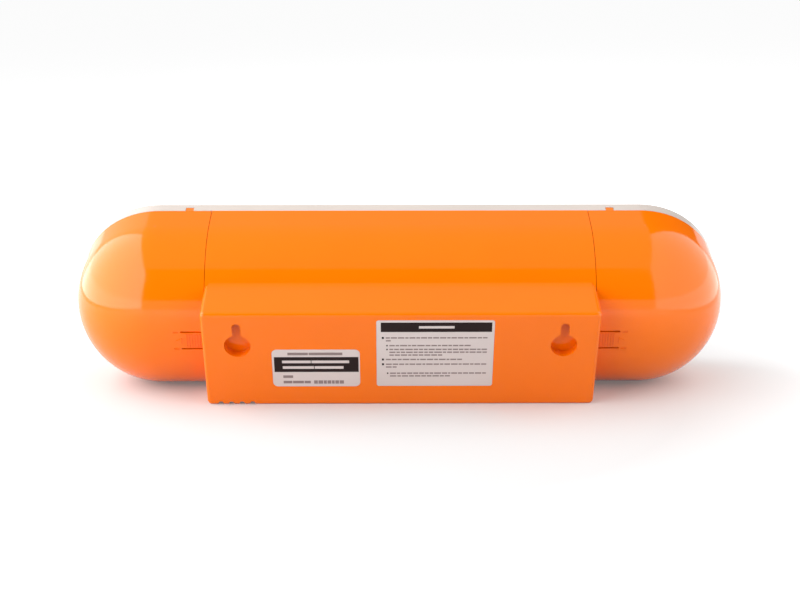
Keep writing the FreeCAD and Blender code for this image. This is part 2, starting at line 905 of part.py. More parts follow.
def make_minute_hand():
    """Long narrow baton."""
    outline = baton(1.3, minute_hand_tail, 1.6, minute_hand_length)
    return hand(outline, minute_hand_front_y, minute_hub_radius, minute_nose_radius, minute_hand_angle)


def make_second_hand():
    """Needle with a counterweight, closed at the middle by a small cap."""
    tail = [(-0.35, 0.0), (-1.4, -second_hand_tail), (1.4, -second_hand_tail), (0.35, 0.0)]
    outline = tail + [(0.3, second_hand_length), (-0.3, second_hand_length)]
    bore = second_pin_radius * 0.7
    needle = hand(outline, second_hand_front_y, second_hub_radius, bore, second_hand_angle)
    cap_front = second_hand_front_y - second_cap_height
    cap = rod_y(second_cap_radius, dial_x, (cap_front, second_hand_front_y), 0)
    core = rod_y(bore, dial_x, (second_hand_front_y, second_hand_front_y + hand_thickness), 0)
    return joined(needle, cap, core)


def make_hour_wheel():
    """Hour wheel and the tube that carries the hour hand."""
    phase = motion_phases()["hour"]
    plane = (hour_plane_y, hour_plane_y + gear_thickness)
    wheel = gear_y(hour_wheel_teeth, motion_module, phase, dial_x, plane, 0)
    tube = rod_y(hour_tube_outer, dial_x, (hour_hand_front_y + hand_thickness, plane[1]), 0)
    nose = rod_y(hour_nose_radius, dial_x, (hour_hand_front_y, plane[0]), 0)
    bore = rod_y(hour_tube_bore, dial_x, (hour_hand_front_y - cut_margin, plane[1] + cut_margin), 0)
    return joined(wheel, tube, nose).cut(bore)


def make_minute_wheel():
    """Minute pinion and the tube that carries the minute hand."""
    phase = motion_phases()["minute"]
    plane = (minute_plane_y, minute_plane_y + gear_thickness)
    pinion = gear_y(minute_pinion_teeth, motion_module, phase, dial_x, plane, 0)
    tube = rod_y(minute_tube_outer, dial_x, (minute_hand_front_y + hand_thickness, plane[1]), 0)
    nose = rod_y(minute_nose_radius, dial_x, (minute_hand_front_y, plane[0]), 0)
    bore = rod_y(minute_tube_bore, dial_x, (minute_hand_front_y - cut_margin, plane[1] + cut_margin), 0)
    return joined(pinion, tube, nose).cut(bore)


def make_second_wheel():
    """Second wheel on the thin pin through the middle."""
    plane = (second_plane_y, second_plane_y + gear_thickness)
    wheel = gear_y(second_wheel_teeth, motion_module, 0.0, dial_x, plane, 0)
    rear = movement_rear_y - movement_cover_thickness - running_clearance
    pin = rod_y(second_pin_radius, dial_x, (second_hand_front_y + hand_thickness, rear), 0)
    return joined(wheel, pin)


def motion_place(direction, distance, start=(dial_x, 0.0)):
    """Point at a distance in a direction from another, in the plane of the dial."""
    turn = math.radians(direction)
    return start[0] + distance * math.cos(turn), start[1] + distance * math.sin(turn)


def motion_phases():
    """Phases that put the motion work's gears in mesh at rest."""
    minute = 0.0
    idler_wheel = meshing_phase(minute_pinion_teeth, minute, idler_direction, idler_wheel_teeth)
    idler_pinion = idler_direction + 180.0
    hour = meshing_phase(idler_pinion_teeth, idler_pinion, idler_direction + 180.0, hour_wheel_teeth)
    knob = meshing_phase(idler_wheel_teeth, idler_wheel, knob_direction, knob_pinion_teeth)
    return {
        "minute": minute,
        "idler_wheel": idler_wheel,
        "idler_pinion": idler_pinion,
        "hour": hour,
        "knob": knob,
    }


idler_distance = (minute_pinion_teeth + idler_wheel_teeth) * motion_module / 2
knob_distance = (idler_wheel_teeth + knob_pinion_teeth) * motion_module / 2
idler_place = motion_place(idler_direction, idler_distance)
knob_place = motion_place(knob_direction, knob_distance, idler_place)


def make_motion_idler():
    """Idler between the minute pinion and the hour wheel."""
    phases = motion_phases()
    x, z = idler_place
    wheel_plane = (minute_plane_y, minute_plane_y + gear_thickness)
    pinion_plane = (hour_plane_y, hour_plane_y + gear_thickness)
    wheel = gear_y(idler_wheel_teeth, motion_module, phases["idler_wheel"], x, wheel_plane, z)
    pinion = gear_y(idler_pinion_teeth, motion_module, phases["idler_pinion"], x, pinion_plane, z)
    neck = rod_y(stem_radius, x, (pinion_plane[0], wheel_plane[1]), z)
    depth = (pinion_plane[0] - cut_margin, wheel_plane[1] + cut_margin)
    bore = rod_y(arbor_radius + running_clearance, x, depth, z)
    return joined(wheel, pinion, neck).cut(bore)


def make_time_setting_knob():
    """Knob at the movement's rear, with the pinion that turns the idler."""
    x, z = knob_place
    plane = (minute_plane_y, minute_plane_y + gear_thickness)
    pinion = gear_y(knob_pinion_teeth, motion_module, motion_phases()["knob"], x, plane, z)
    rear = movement_rear_y + knob_gap
    stem = rod_y(stem_radius, x, (plane[0], rear), z)
    base = Vector(x, rear, z)
    knob = fluted_knob(setting_knob_radius, setting_knob_height, setting_knob_flutes, Vector(0, 1, 0), base)
    return joined(pinion, stem, knob)


def make_movement_case():
    """Open box with the threaded post in front and the arbor for the idler."""
    half = movement_size / 2
    across = (dial_x - half, dial_x + half)
    rear = movement_rear_y - movement_cover_thickness
    case = block(across, (chassis_rear_y, rear), (-half, half))
    upright = edges_at(case, lambda m, b: b.XLength < 1e-6 and b.ZLength < 1e-6)
    case = case.makeFillet(movement_corner_radius, upright)
    wall = movement_wall
    room = block(
        (across[0] + wall, across[1] - wall),
        (chassis_rear_y + wall, rear + cut_margin),
        (-half + wall, half - wall),
    )
    case = case.cut(room)
    post = rod_y(post_radius, dial_x, (chassis_rear_y - post_length, chassis_rear_y + wall), 0)
    depth = (chassis_rear_y - post_length - cut_margin, chassis_rear_y + wall + cut_margin)
    bore = rod_y(post_bore, dial_x, depth, 0)
    x, z = idler_place
    arbor_end = minute_plane_y + gear_thickness + cut_margin
    arbor = rod_y(arbor_radius, x, (chassis_rear_y + wall / 2, arbor_end), z)
    return joined(case, post).cut(bore).fuse(arbor).removeSplitter()


def make_movement_cover():
    """Lid on the movement's rear, with a hole for the knob's stem."""
    half = movement_size / 2
    across = (dial_x - half, dial_x + half)
    cover = block(across, (movement_rear_y - movement_cover_thickness, movement_rear_y), (-half, half))
    upright = edges_at(cover, lambda m, b: b.XLength < 1e-6 and b.ZLength < 1e-6)
    cover = cover.makeFillet(movement_corner_radius, upright)
    x, z = knob_place
    depth = (movement_rear_y - movement_cover_thickness - cut_margin, movement_rear_y + cut_margin)
    return cover.cut(rod_y(stem_radius + running_clearance, x, depth, z))


def make_movement_nut():
    """Hexagon nut on the post, in front of the dial."""
    across_corners = nut_across_flats / math.sqrt(3)
    points = []
    for index in range(6):
        turn = index * math.pi / 3
        points.append((dial_x + across_corners * math.cos(turn), across_corners * math.sin(turn)))
    rear = dial_front_y
    nut = prism_y(points, (rear - nut_height, rear))
    bore = post_radius + running_clearance
    return nut.cut(rod_y(bore, dial_x, (rear - nut_height - cut_margin, rear + cut_margin), 0))


def make_movement_coil():
    """Stepping motor's coil on its core, standing on the movement's floor."""
    idler_tip = (idler_wheel_teeth / 2 + tooth_tip_share) * motion_module
    x = idler_place[0] - idler_tip - coil_radius - coil_clearance
    floor = chassis_rear_y + movement_wall
    across = (x - coil_core_half, x + coil_core_half)
    core = block(across, (floor, floor + 2 * coil_core_half), (-coil_core_reach, coil_core_reach))
    winding = rod_z(coil_radius, x, floor + coil_radius, (-coil_half_length, coil_half_length))
    return joined(winding, core)


def make_movement_board():
    """Small circuit board with the crystal's can."""
    floor = chassis_rear_y + movement_wall
    right = dial_x + movement_size / 2 - movement_board_margin
    left = right - movement_board_width
    low = -movement_size / 2 + movement_wall + movement_board_margin / 4
    middle = low + movement_board_height / 2
    face = floor + movement_board_thickness
    board = block((left, right), (floor, face), (low, low + movement_board_height))
    half = movement_chip_size / 2
    chip_x = left + movement_board_width / 4
    depth = (face, face + crystal_radius)
    chip = block((chip_x - half, chip_x + half), depth, (middle - half, middle + half))
    crystal_left = left + movement_board_width / 2
    across = (crystal_left, crystal_left + crystal_length)
    crystal = rod_x(crystal_radius, across, depth[1] - wall_overlap, middle)
    return joined(board, chip, crystal)


# Cells and trays


def cell(radius, length, nub_radius, nub_height, x, y, up):
    """One round cell standing along Z, with its positive nub up or down."""
    bottom = -length / 2
    can_top = length / 2 - nub_height
    can = rod_z(radius, x, y, (bottom, can_top))
    rims = edges_at(can, lambda m, b: b.ZLength < 1e-6)
    rounded = can.makeFillet(cell_edge_radius, rims)
    nub = rod_z(nub_radius, x, y, (can_top - wall_overlap, length / 2))
    whole = joined(rounded, nub)
    if not up:
        whole.rotate(Vector(x, y, 0), Vector(0, 1, 0), 180)
    return whole


small_cell_y = movement_rear_y + tray_wall + cell_clearance + small_cell_radius
large_cell_y = chassis_rear_y + tray_wall + cell_clearance + large_cell_radius


def small_cell_places():
    """Across-places of the two clock cells, each side of the setting knob."""
    knob_side = abs(knob_place[0] - dial_x) + setting_knob_radius
    half = knob_side + knob_side_gap + tray_wall + cell_clearance + small_cell_radius
    return [dial_x - half, dial_x + half]


def large_cell_places():
    """Across-places of the two calendar cells."""
    return [large_cell_first_x, large_cell_first_x + large_cell_pitch]


def make_clock_cells():
    """Two small cells for the movement, head to tail."""
    cells = []
    for index, x in enumerate(small_cell_places()):
        size = (small_cell_radius, small_cell_length, small_cell_nub_radius, small_cell_nub_height)
        cells.append(cell(*size, x, small_cell_y, index == 0))
    return Part.makeCompound(cells)


def make_calendar_cells():
    """Two large cells for the calendar, head to tail."""
    cells = []
    for index, x in enumerate(large_cell_places()):
        size = (large_cell_radius, large_cell_length, large_cell_nub_radius, large_cell_nub_height)
        cells.append(cell(*size, x, large_cell_y, index == 0))
    return Part.makeCompound(cells)


def trough(x, y, radius, length, floor_y, open_rear):
    """Cradle for one cell: floor, two cheeks and two end walls, open to the rear."""
    half = radius + cell_clearance + tray_wall
    half_length = length / 2 + tray_end_room + tray_wall
    shape = block((x - half, x + half), (floor_y, open_rear), (-half_length, half_length))
    room_half = radius + cell_clearance
    room = block(
        (x - room_half, x + room_half),
        (y, open_rear + cut_margin),
        (-half_length + tray_wall, half_length - tray_wall),
    )
    bed = rod_z(room_half, x, y, (-half_length + tray_wall, half_length - tray_wall))
    return shape.cut([room, bed])


def make_clock_cell_tray():
    """Two troughs on the movement's rear, joined by a bridge above and below the knob."""
    floor = movement_rear_y
    rear = small_cell_y + tray_side_height
    parts = [
        trough(x, small_cell_y, small_cell_radius, small_cell_length, floor, rear)
        for x in small_cell_places()
    ]
    inner = small_cell_places()[1] - dial_x - small_cell_radius - cell_clearance - tray_wall / 2
    bridge_low_z = abs(knob_place[1]) + setting_knob_radius + knob_bridge_gap
    for up in (-1, 1):
        low, high = sorted((up * bridge_low_z, up * (bridge_low_z + bridge_height)))
        parts.append(block((dial_x - inner, dial_x + inner), (floor, floor + tray_wall), (low, high)))
    return joined(*parts)


def make_calendar_cell_tray():
    """Two large troughs on the chassis, with posts for the control board."""
    floor = chassis_rear_y
    rear = large_cell_y + tray_side_height
    parts = [
        trough(x, large_cell_y, large_cell_radius, large_cell_length, floor, rear)
        for x in large_cell_places()
    ]
    shelf_low = board_top_z - board_height
    across = (board_left_x, board_left_x + board_width)
    parts.append(block(across, (floor, floor + tray_wall), (shelf_low, -large_cell_length / 2)))
    for x, z in board_post_places():
        parts.append(rod_y(board_post_radius, x, (floor, board_front_y), z))
    return joined(*parts)


def contact_pair(places, y, radius, length):
    """Spring-metal strips at both ends of each cell."""
    strips = []
    room = length / 2 + tray_end_room
    for x in places:
        for up in (-1, 1):
            low, high = sorted((up * (room - contact_thickness), up * room))
            across = (x - radius * 0.6, x + radius * 0.6)
            base = block(across, (y - contact_half_depth, y + contact_half_depth), (low, high))
            reach_low, reach_high = sorted((up * (length / 2 + running_clearance), up * room))
            pip = rod_z(contact_pip_radius, x, y, (reach_low, reach_high))
            strips.append(joined(base, pip))
    return strips


def make_cell_contacts():
    """All eight contact strips of both trays."""
    clock = contact_pair(small_cell_places(), small_cell_y, small_cell_radius, small_cell_length)
    calendar = contact_pair(large_cell_places(), large_cell_y, large_cell_radius, large_cell_length)
    return Part.makeCompound(clock + calendar)


# Control board


def board_post_places():
    """Across and up places of the board's two posts."""
    middle = board_top_z - board_height / 2
    left = board_left_x + board_post_inset
    right = board_left_x + board_width - board_post_inset
    return [(left, middle), (right, middle)]


def make_control_board():
    """Board behind the calendar cells' lower end."""
    across = (board_left_x, board_left_x + board_width)
    depth = (board_front_y, board_front_y + board_thickness)
    return block(across, depth, (board_top_z - board_height, board_top_z))


def make_board_parts():
    """Chip and capacitor on the board."""
    rear = board_front_y + board_thickness
    low = board_top_z - board_height
    chip_right = board_left_x + board_width - board_chip_inset
    chip_low = board_top_z - board_chip_inset / 5 - board_chip_size
    across = (chip_right - board_chip_size, chip_right)
    chip = block(across, (rear, rear + board_chip_height), (chip_low, chip_low + board_chip_size))
    x = board_left_x + board_post_inset
    z = low + capacitor_radius + board_edge_margin
    capacitor = rod_y(capacitor_radius, x, (rear, rear + capacitor_height), z)
    return Part.makeCompound([chip, capacitor])


switch_place = (board_left_x + switch_from_board_left, board_top_z - board_height / 2)
switch_front_y = board_front_y + board_thickness


def make_switch_case():
    """Slide switch's case with its slot."""
    x, z = switch_place
    rear = switch_front_y + switch_depth
    across = (x - switch_width / 2, x + switch_width / 2)
    case = block(across, (switch_front_y, rear), (z - switch_height / 2, z + switch_height / 2))
    slot = block(
        (x - switch_slot_width / 2, x + switch_slot_width / 2),
        (switch_front_y + switch_floor, rear + cut_margin),
        (z - switch_slot_height / 2, z + switch_slot_height / 2),
    )
    return case.cut(slot)


def make_switch_slider():
    """Three-position slider of the switch, shown in its middle position."""
    x, z = switch_place
    rear = switch_front_y + switch_depth
    height = switch_slot_height / 2 - running_clearance
    across = (x - switch_knob_width / 2, x + switch_knob_width / 2)
    front = switch_front_y + switch_floor + running_clearance
    return block(across, (front, rear + switch_knob_reach), (z - height, z + height))


# Flip calendar


def hinge_place(angle):
    """Point on the drums' hinge circle. Angle 0 is the front, and it grows over the top."""
    turn = math.radians(angle)
    return drum_axis_y - hinge_radius * math.cos(turn), hinge_radius * math.sin(turn)


def leaf(centre, angle, lean, root):
    """One flip leaf at a hinge place. Lean 0 points up, and 180 hangs down."""
    y, z = hinge_place(angle)
    half = leaf_width / 2
    depth = (y - leaf_thickness / 2, y + leaf_thickness / 2)
    plate = block((centre - half, centre + half), depth, (z - root, z + leaf_height))
    reach = half + hinge_pin_reach
    left_pin = rod_x(hinge_pin_radius, (centre - reach, centre - half), y, z)
    right_pin = rod_x(hinge_pin_radius, (centre + half, centre + reach), y, z)
    whole = joined(plate, left_pin, right_pin)
    whole.rotate(Vector(centre, y, z), Vector(1, 0, 0), -lean)
    return whole


def make_leaf_pack(name):
    """Every leaf of a drum but the one about to fall, fanned as gravity leaves them."""
    count = leaf_counts[name]
    step = 360.0 / count
    leaves = []
    for index in range(1, count):
        angle = index * step
        lean = min(angle, 180.0)
        is_shown_below = index == count - 1
        root = hinge_radius * math.sin(math.radians(step)) - leaf_split if is_shown_below else 0.0
        leaves.append(leaf(column_centres[name], angle, lean, root))
    return Part.makeCompound(leaves)


def make_flip_leaf(name):
    """The leaf at the front, upright and about to fall."""
    return leaf(column_centres[name], 0.0, 0.0, 0.0)


def make_drum(name):
    """Hub and two discs, with the ring grooves that hold the leaves' pins."""
    centre = column_centres[name]
    hub = rod_x(drum_hub_radius, (centre - drum_inner_x, centre + drum_inner_x), drum_axis_y, 0)
    discs = []
    grooves = []
    for side in (-1, 1):
        near, far = sorted((centre + side * drum_inner_x, centre + side * drum_outer_x))
        discs.append(rod_x(drum_disc_radius, (near, far), drum_axis_y, 0))
        face = centre + side * drum_inner_x
        low, high = sorted((face - side * 1.0, face + side * drum_groove_depth))
        ring = (hinge_radius + drum_groove_half_width, hinge_radius - drum_groove_half_width)
        grooves.append(tube_x(*ring, (low, high), drum_axis_y, 0))
    collar = (centre - drum_collar_x, centre + drum_collar_x)
    discs.append(rod_x(sleeve_radius, collar, drum_axis_y, 0))
    spool = joined(hub, *discs).cut(grooves)
    reach = (centre - drum_collar_x - cut_margin, centre + drum_collar_x + cut_margin)
    spool = spool.cut(rod_x(shaft_radius + running_clearance, reach, drum_axis_y, 0))
    if name == "day":
        sleeve = (centre + drum_collar_x, setting_wheel_x)
        bore = shaft_radius + running_clearance
        spool = joined(spool, tube_x(sleeve_radius, bore, sleeve, drum_axis_y, 0))
    return spool


def make_day_setting_wheel():
    """Thumbwheel on the day drum's sleeve, under the right-hand cap."""
    base = Vector(setting_wheel_x, drum_axis_y, 0)
    size = (setting_wheel_radius, setting_wheel_width, setting_wheel_flutes)
    wheel = fluted_knob(*size, Vector(1, 0, 0), base)
    bore = (setting_wheel_x - cut_margin, setting_wheel_x + setting_wheel_width + cut_margin)
    return wheel.cut(rod_x(shaft_radius + running_clearance, bore, drum_axis_y, 0))


def make_drum_shaft():
    """Fixed steel shaft that all three drums turn on."""
    first = columns_left - frame_plate_thickness / 2
    last = setting_wheel_x + setting_wheel_width + shaft_end_length
    return rod_x(shaft_radius, (first, last), drum_axis_y, 0)


def frame_plate_places():
    """Across-places of the four upright plates."""
    return [columns_left + index * column_pitch for index in range(len(column_names) + 1)]


def make_frame_plate(index):
    """One upright plate between the drums, standing on the chassis."""
    x = frame_plate_places()[index]
    across = (x - frame_plate_thickness / 2, x + frame_plate_thickness / 2)
    wide = (across[0] - cut_margin, across[1] + cut_margin)
    rear = frame_inner_rear_y if index in (1, 2) else frame_outer_rear_y
    low_rear = min(rear, frame_outer_rear_y)
    outline = [
        (chassis_rear_y, frame_bottom_z),
        (low_rear, frame_bottom_z),
        (rear, frame_bottom_z + (rear - low_rear) * math.tan(tilt) * 2),
        (rear, frame_step_low_z),
        (low_rear, frame_step_high_z),
        (low_rear, frame_top_z),
        (chassis_rear_y, frame_top_z),
    ]
    if rear == low_rear:
        outline = [point for i, point in enumerate(outline) if i not in (2, 3, 4)]
    plate = prism_x(outline, across)
    cutters = []
    for y, z in tie_rod_places:
        cutters.append(rod_x(tie_rod_radius, wide, y, z))
    shaft_hole = sleeve_radius + running_clearance if index == 3 else shaft_radius
    cutters.append(rod_x(shaft_hole, wide, drum_axis_y, 0))
    if index == 1:
        cutters.append(rod_x(reduction_pin_radius, wide, *reduction_place))
        cutters.append(rod_x(motor_shaft_radius + running_clearance, wide, *motor_place))
    if index == 2:
        cutters.append(rod_x(wire_hole_radius, wide, *motor_place))
    if index == 3:
        pair_z = motor_place[1] - wire_drop - wire_spacing / 2
        cutters.append(rod_x(wire_hole_radius, wide, wire_lip_y, pair_z))
    for up in (-1, 1):
        cutters.append(rod_x(frame_hole_radius, wide, frame_hole_y, up * frame_hole_z))
    return plate.cut(cutters)


def make_frame_tie_rods():
    """Two rods that hold the plates together at the rear."""
    places = frame_plate_places()
    across = (places[0] - frame_plate_thickness / 2, places[3] + frame_plate_thickness / 2)
    return Part.makeCompound([rod_x(tie_rod_radius, across, y, z) for y, z in tie_rod_places])


def make_leaf_catches():
    """Three thin strips that stop the front leaves at their upper edge."""
    strips = []
    top = window_height / 2 + reveal_wall + reveal_clearance / 2
    low = leaf_height + catch_gap
    for centre in column_centres.values():
        across = (centre - catch_width / 2, centre + catch_width / 2)
        rear = leaf_plane_y + catch_thickness
        arm = block(across, (chassis_rear_y, rear + catch_thickness), (top, top + catch_thickness))
        tip_front = leaf_plane_y + leaf_thickness / 2 + running_clearance
        tip = block(across, (tip_front, rear + catch_thickness), (low, top + catch_thickness))
        foot = block(across, (chassis_rear_y, chassis_rear_y + catch_thickness), (top, top + catch_foot))
        strips.append(joined(arm, tip, foot))
    return Part.makeCompound(strips)


# Drive

drive_plane = (
    column_centres["date"] - drum_outer_x - drive_gear_width,
    column_centres["date"] - drum_outer_x,
)


def drive_place(direction, distance, start):
    """Point at a distance in a direction from another, seen along the drums' axis."""
    turn = math.radians(direction)
    return start[0] + distance * math.cos(turn), start[1] + distance * math.sin(turn)


reduction_distance = (drum_gear_teeth + reduction_gear_teeth) * drive_module / 2
motor_distance = (reduction_gear_teeth + motor_pinion_teeth) * drive_module / 2
reduction_place = drive_place(reduction_direction, reduction_distance, (drum_axis_y, 0.0))
motor_place = drive_place(motor_direction, motor_distance, reduction_place)


def drive_phases():
    """Phases that put the drive's gears in mesh at rest."""
    drum = 0.0
    reduction = meshing_phase(drum_gear_teeth, drum, reduction_direction, reduction_gear_teeth)
    pinion = meshing_phase(reduction_gear_teeth, reduction, motor_direction, motor_pinion_teeth)
    return drum, reduction, pinion


def make_date_drum_gear():
    """Gear on the date drum's left disc."""
    gear = gear_x(drum_gear_teeth, drive_module, drive_phases()[0], drive_plane, drum_axis_y, 0)
    bore = (drive_plane[0] - cut_margin, drive_plane[1] + cut_margin)
    return gear.cut(rod_x(sleeve_radius + 0.02, bore, drum_axis_y, 0))


def make_reduction_gear():
    """Gear between the motor and the drum."""
    gear = gear_x(reduction_gear_teeth, drive_module, drive_phases()[1], drive_plane, *reduction_place)
    wide = (drive_plane[0] - cut_margin, drive_plane[1] + cut_margin)
    return gear.cut(rod_x(reduction_pin_radius + running_clearance, wide, *reduction_place))


def make_reduction_pin():
    """Pin of the reduction gear, fixed in the frame plate."""
    plate = frame_plate_places()[1]
    across = (plate - frame_plate_thickness / 2, drive_plane[1] + 1.2)
    head = (drive_plane[1] + 0.2, drive_plane[1] + 1.2)
    return joined(rod_x(reduction_pin_radius, across, *reduction_place), rod_x(2.4, head, *reduction_place))


def make_motor_pinion():
    """Pinion and shaft of the motor."""
    pinion = gear_x(motor_pinion_teeth, drive_module, drive_phases()[2], drive_plane, *motor_place)
    first = frame_plate_places()[1] - frame_plate_thickness / 2 - 0.5
    shaft = rod_x(motor_shaft_radius, (first, drive_plane[1] + 6.0), *motor_place)
    return joined(pinion, shaft)


motor_front_x = drive_plane[1] + 2.0


def make_calendar_motor():
    """Small flat-sided motor with its nose towards the pinion."""
    y, z = motor_place
    can = rod_x(motor_radius, (motor_front_x, motor_front_x + motor_length), y, z)
    flat = motor_radius * 0.8
    keep = block(
        (motor_front_x - 5.0, motor_front_x + motor_length + 5.0),
        (y - motor_radius - cut_margin, y + motor_radius + cut_margin),
        (z - flat, z + flat),
    )
    shape = can.common(keep)
    nose = rod_x(motor_boss_radius, (motor_front_x - cut_margin, motor_front_x), y, z)
    room = rod_x(motor_shaft_radius + running_clearance, (motor_front_x - 2.0, motor_front_x + 5.0), y, z)
    return joined(shape, nose).cut(room)


def make_motor_bracket():
    """Bent strip that ties the motor's can to the frame plate."""
    y, z = motor_place
    plate_face = frame_plate_places()[1] + frame_plate_thickness / 2
    flat = motor_radius * 0.8
    low = z - flat - bracket_thickness
    depth = (y - bracket_half_width, y + bracket_half_width)
    floor = block((plate_face, motor_front_x + motor_length * 2 / 3), depth, (low, z - flat))
    tab = block((plate_face, plate_face + bracket_thickness), depth, (low, z - flat + cut_margin))
    return joined(floor, tab)


# Wiring


def wire(points):
    """Round insulated wire through a list of points, with rounded corners."""
    parts = []
    for start, end in zip(points, points[1:]):
        a = Vector(*start)
        b = Vector(*end)
        parts.append(Part.makeCylinder(wire_radius, (b - a).Length, a, b - a))
    for corner in points[1:-1]:
        parts.append(Part.makeSphere(wire_radius, Vector(*corner)))
    return joined(*parts)


def make_calendar_wires():
    """Pair from the board to the motor, and pair from the large cells to the board."""
    y, z = motor_place
    motor_end = motor_front_x + motor_length
    rear = board_front_y + board_thickness + 0.8 * wire_radius
    wires = []
    for offset in (0.0, wire_spacing):
        start = (motor_end, y - wire_spacing / 2 + offset, z)
        turn = (wire_turn_x - offset, start[1], z)
        low = (turn[0], wire_lip_y, z - wire_drop - offset)
        beyond = (seam_x + lip_reach + 2.0 + offset, wire_lip_y, low[2])
        end = (beyond[0], rear, board_top_z - 2.0)
        wires.append(wire([start, turn, low, beyond, end]))
    low_end = -large_cell_length / 2 - tray_end_room - tray_wall
    board_right = board_left_x + board_width
    for offset in (0.0, wire_spacing):
        start = (board_right + 1.5 + offset, large_cell_y, low_end)
        below = (start[0], large_cell_y, low_end - 3.0)
        behind = (start[0], rear + 3.0, low_end - 3.0)
        end = (board_right - 2.0, rear, low_end - 4.5 - 2.0 * offset)
        wires.append(wire([start, below, behind, end]))
    return Part.makeCompound(wires)


# Everything that is written out


def all_pieces():
    """Every sub-part by name."""
    pieces = {
        "rear_housing": make_rear_housing(),
        "right_end_cap": make_right_end_cap(),
        "front_bezel": make_front_bezel(),
        "lens": make_lens(),
        "face_panel": make_face_panel(),
        "chassis": make_chassis(),
        "chassis_screws": make_chassis_screws(),
        "rating_label": make_label(rating_label),
        "notice_label": make_label(notice_label),
        "clock_dial": make_clock_dial(),
        "hour_hand": make_hour_hand(),
        "minute_hand": make_minute_hand(),
        "second_hand": make_second_hand(),
        "hour_wheel": make_hour_wheel(),
        "minute_wheel": make_minute_wheel(),
        "second_wheel": make_second_wheel(),
        "motion_idler": make_motion_idler(),
        "time_setting_knob": make_time_setting_knob(),
        "movement_case": make_movement_case(),
        "movement_cover": make_movement_cover(),
        "movement_nut": make_movement_nut(),
        "movement_coil": make_movement_coil(),
        "movement_board": make_movement_board(),
        "clock_cells": make_clock_cells(),
        "clock_cell_tray": make_clock_cell_tray(),
        "calendar_cells": make_calendar_cells(),
        "calendar_cell_tray": make_calendar_cell_tray(),
        "cell_contacts": make_cell_contacts(),
        "control_board": make_control_board(),
        "board_parts": make_board_parts(),
        "switch_case": make_switch_case(),
        "switch_slider": make_switch_slider(),
        "drum_shaft": make_drum_shaft(),
        "day_setting_wheel": make_day_setting_wheel(),
        "frame_tie_rods": make_frame_tie_rods(),
        "leaf_catches": make_leaf_catches(),
        "date_drum_gear": make_date_drum_gear(),
        "reduction_gear": make_reduction_gear(),
        "reduction_pin": make_reduction_pin(),
        "motor_pinion": make_motor_pinion(),
        "calendar_motor": make_calendar_motor(),
        "motor_bracket": make_motor_bracket(),
        "calendar_wires": make_calendar_wires(),
    }
    pieces["left_end_cap"] = mirrored(pieces["right_end_cap"])
    for name in column_centres:
        pieces[name + "_drum"] = make_drum(name)
        pieces[name + "_leaves"] = make_leaf_pack(name)
        pieces[name + "_flip_leaf"] = make_flip_leaf(name)
    for index in range(len(frame_plate_places())):
        pieces["frame_plate_%d" % (index + 1)] = make_frame_plate(index)
    return pieces


def main():
    """Stands every piece on the foot and writes it to its own file."""
    os.makedirs("parts", exist_ok=True)
    for name, shape in sorted(all_pieces().items()):
        placed = stand_up(shape)
        placed.exportStep("parts/" + name + ".step")
        print("%-20s %3d solids %10.1f mm3" % (name, len(placed.Solids), placed.Volume))


if __name__ == "__main__":
    main()
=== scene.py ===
"""Finishes, printing, stage and camera of the flip calendar clock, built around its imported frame.

Sizes and places are in metres. A point of the clock is written along its own leaning axes: right as seen
from the front, rearward, and up, from the middle of the foot. in_row turns it into the frame's axes.
"""

import json
import math

import bmesh
import bpy
import numpy as np
from bpy.props import FloatProperty, FloatVectorProperty, PointerProperty, StringProperty
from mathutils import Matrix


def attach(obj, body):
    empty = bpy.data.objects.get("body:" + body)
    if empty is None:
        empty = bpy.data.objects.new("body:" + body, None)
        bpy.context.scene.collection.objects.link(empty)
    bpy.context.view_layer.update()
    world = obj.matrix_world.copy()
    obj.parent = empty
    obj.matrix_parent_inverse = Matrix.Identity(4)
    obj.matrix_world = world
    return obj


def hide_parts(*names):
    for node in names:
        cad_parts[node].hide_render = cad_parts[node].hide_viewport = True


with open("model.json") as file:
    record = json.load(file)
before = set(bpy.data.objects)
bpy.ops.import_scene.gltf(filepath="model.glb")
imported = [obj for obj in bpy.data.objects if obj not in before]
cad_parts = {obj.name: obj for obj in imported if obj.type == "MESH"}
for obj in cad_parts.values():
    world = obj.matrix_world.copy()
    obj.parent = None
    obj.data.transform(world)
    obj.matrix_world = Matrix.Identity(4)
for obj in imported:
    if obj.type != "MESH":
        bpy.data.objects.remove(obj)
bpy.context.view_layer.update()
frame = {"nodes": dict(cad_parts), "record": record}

bl_info = {
    "name": "Flip calendar clock",
    "version": (1, 0, 0),
    "blender": (4, 5, 0),
    "location": "3D View > Sidebar > Clock",
    "description": "Finishes and printed details of a wall or desk clock with a flip calendar",
    "category": "Object",
}

LEAF_COUNTS = {"month": 24, "date": 31, "day": 28}
MM = 0.001
mounts = {mount["name"]: mount for mount in frame["record"]["mounts"]}
rearward = np.array(mounts["wall_face"]["axis"], float)
rightward = np.array((1.0, 0.0, 0.0))
AXES = np.array((rightward, rearward, np.cross(rightward, rearward)))
LEAN = math.atan2(-rearward[2], rearward[1])


def linear(code):
    """An sRGB hex colour such as #FF8800 as the linear colour and full alpha that a socket takes."""
    shares = [int(code[at:at + 2], 16) / 255 for at in (1, 3, 5)]
    return tuple(s / 12.92 if s <= 0.04045 else ((s + 0.055) / 1.055) ** 2.4 for s in shares) + (1.0,)


def colour_property(name, code, description):
    """A colour that a user would change, with an sRGB hex code as its default."""
    return FloatVectorProperty(
        name=name, description=description, subtype="COLOR", size=4, min=0, max=1, default=linear(code)
    )


def length_property(name, millimetres, description):
    """A length that a user would change, with its default given in millimetres."""
    return FloatProperty(
        name=name, description=description, subtype="DISTANCE", unit="LENGTH", min=0,
        default=millimetres * MM,
    )


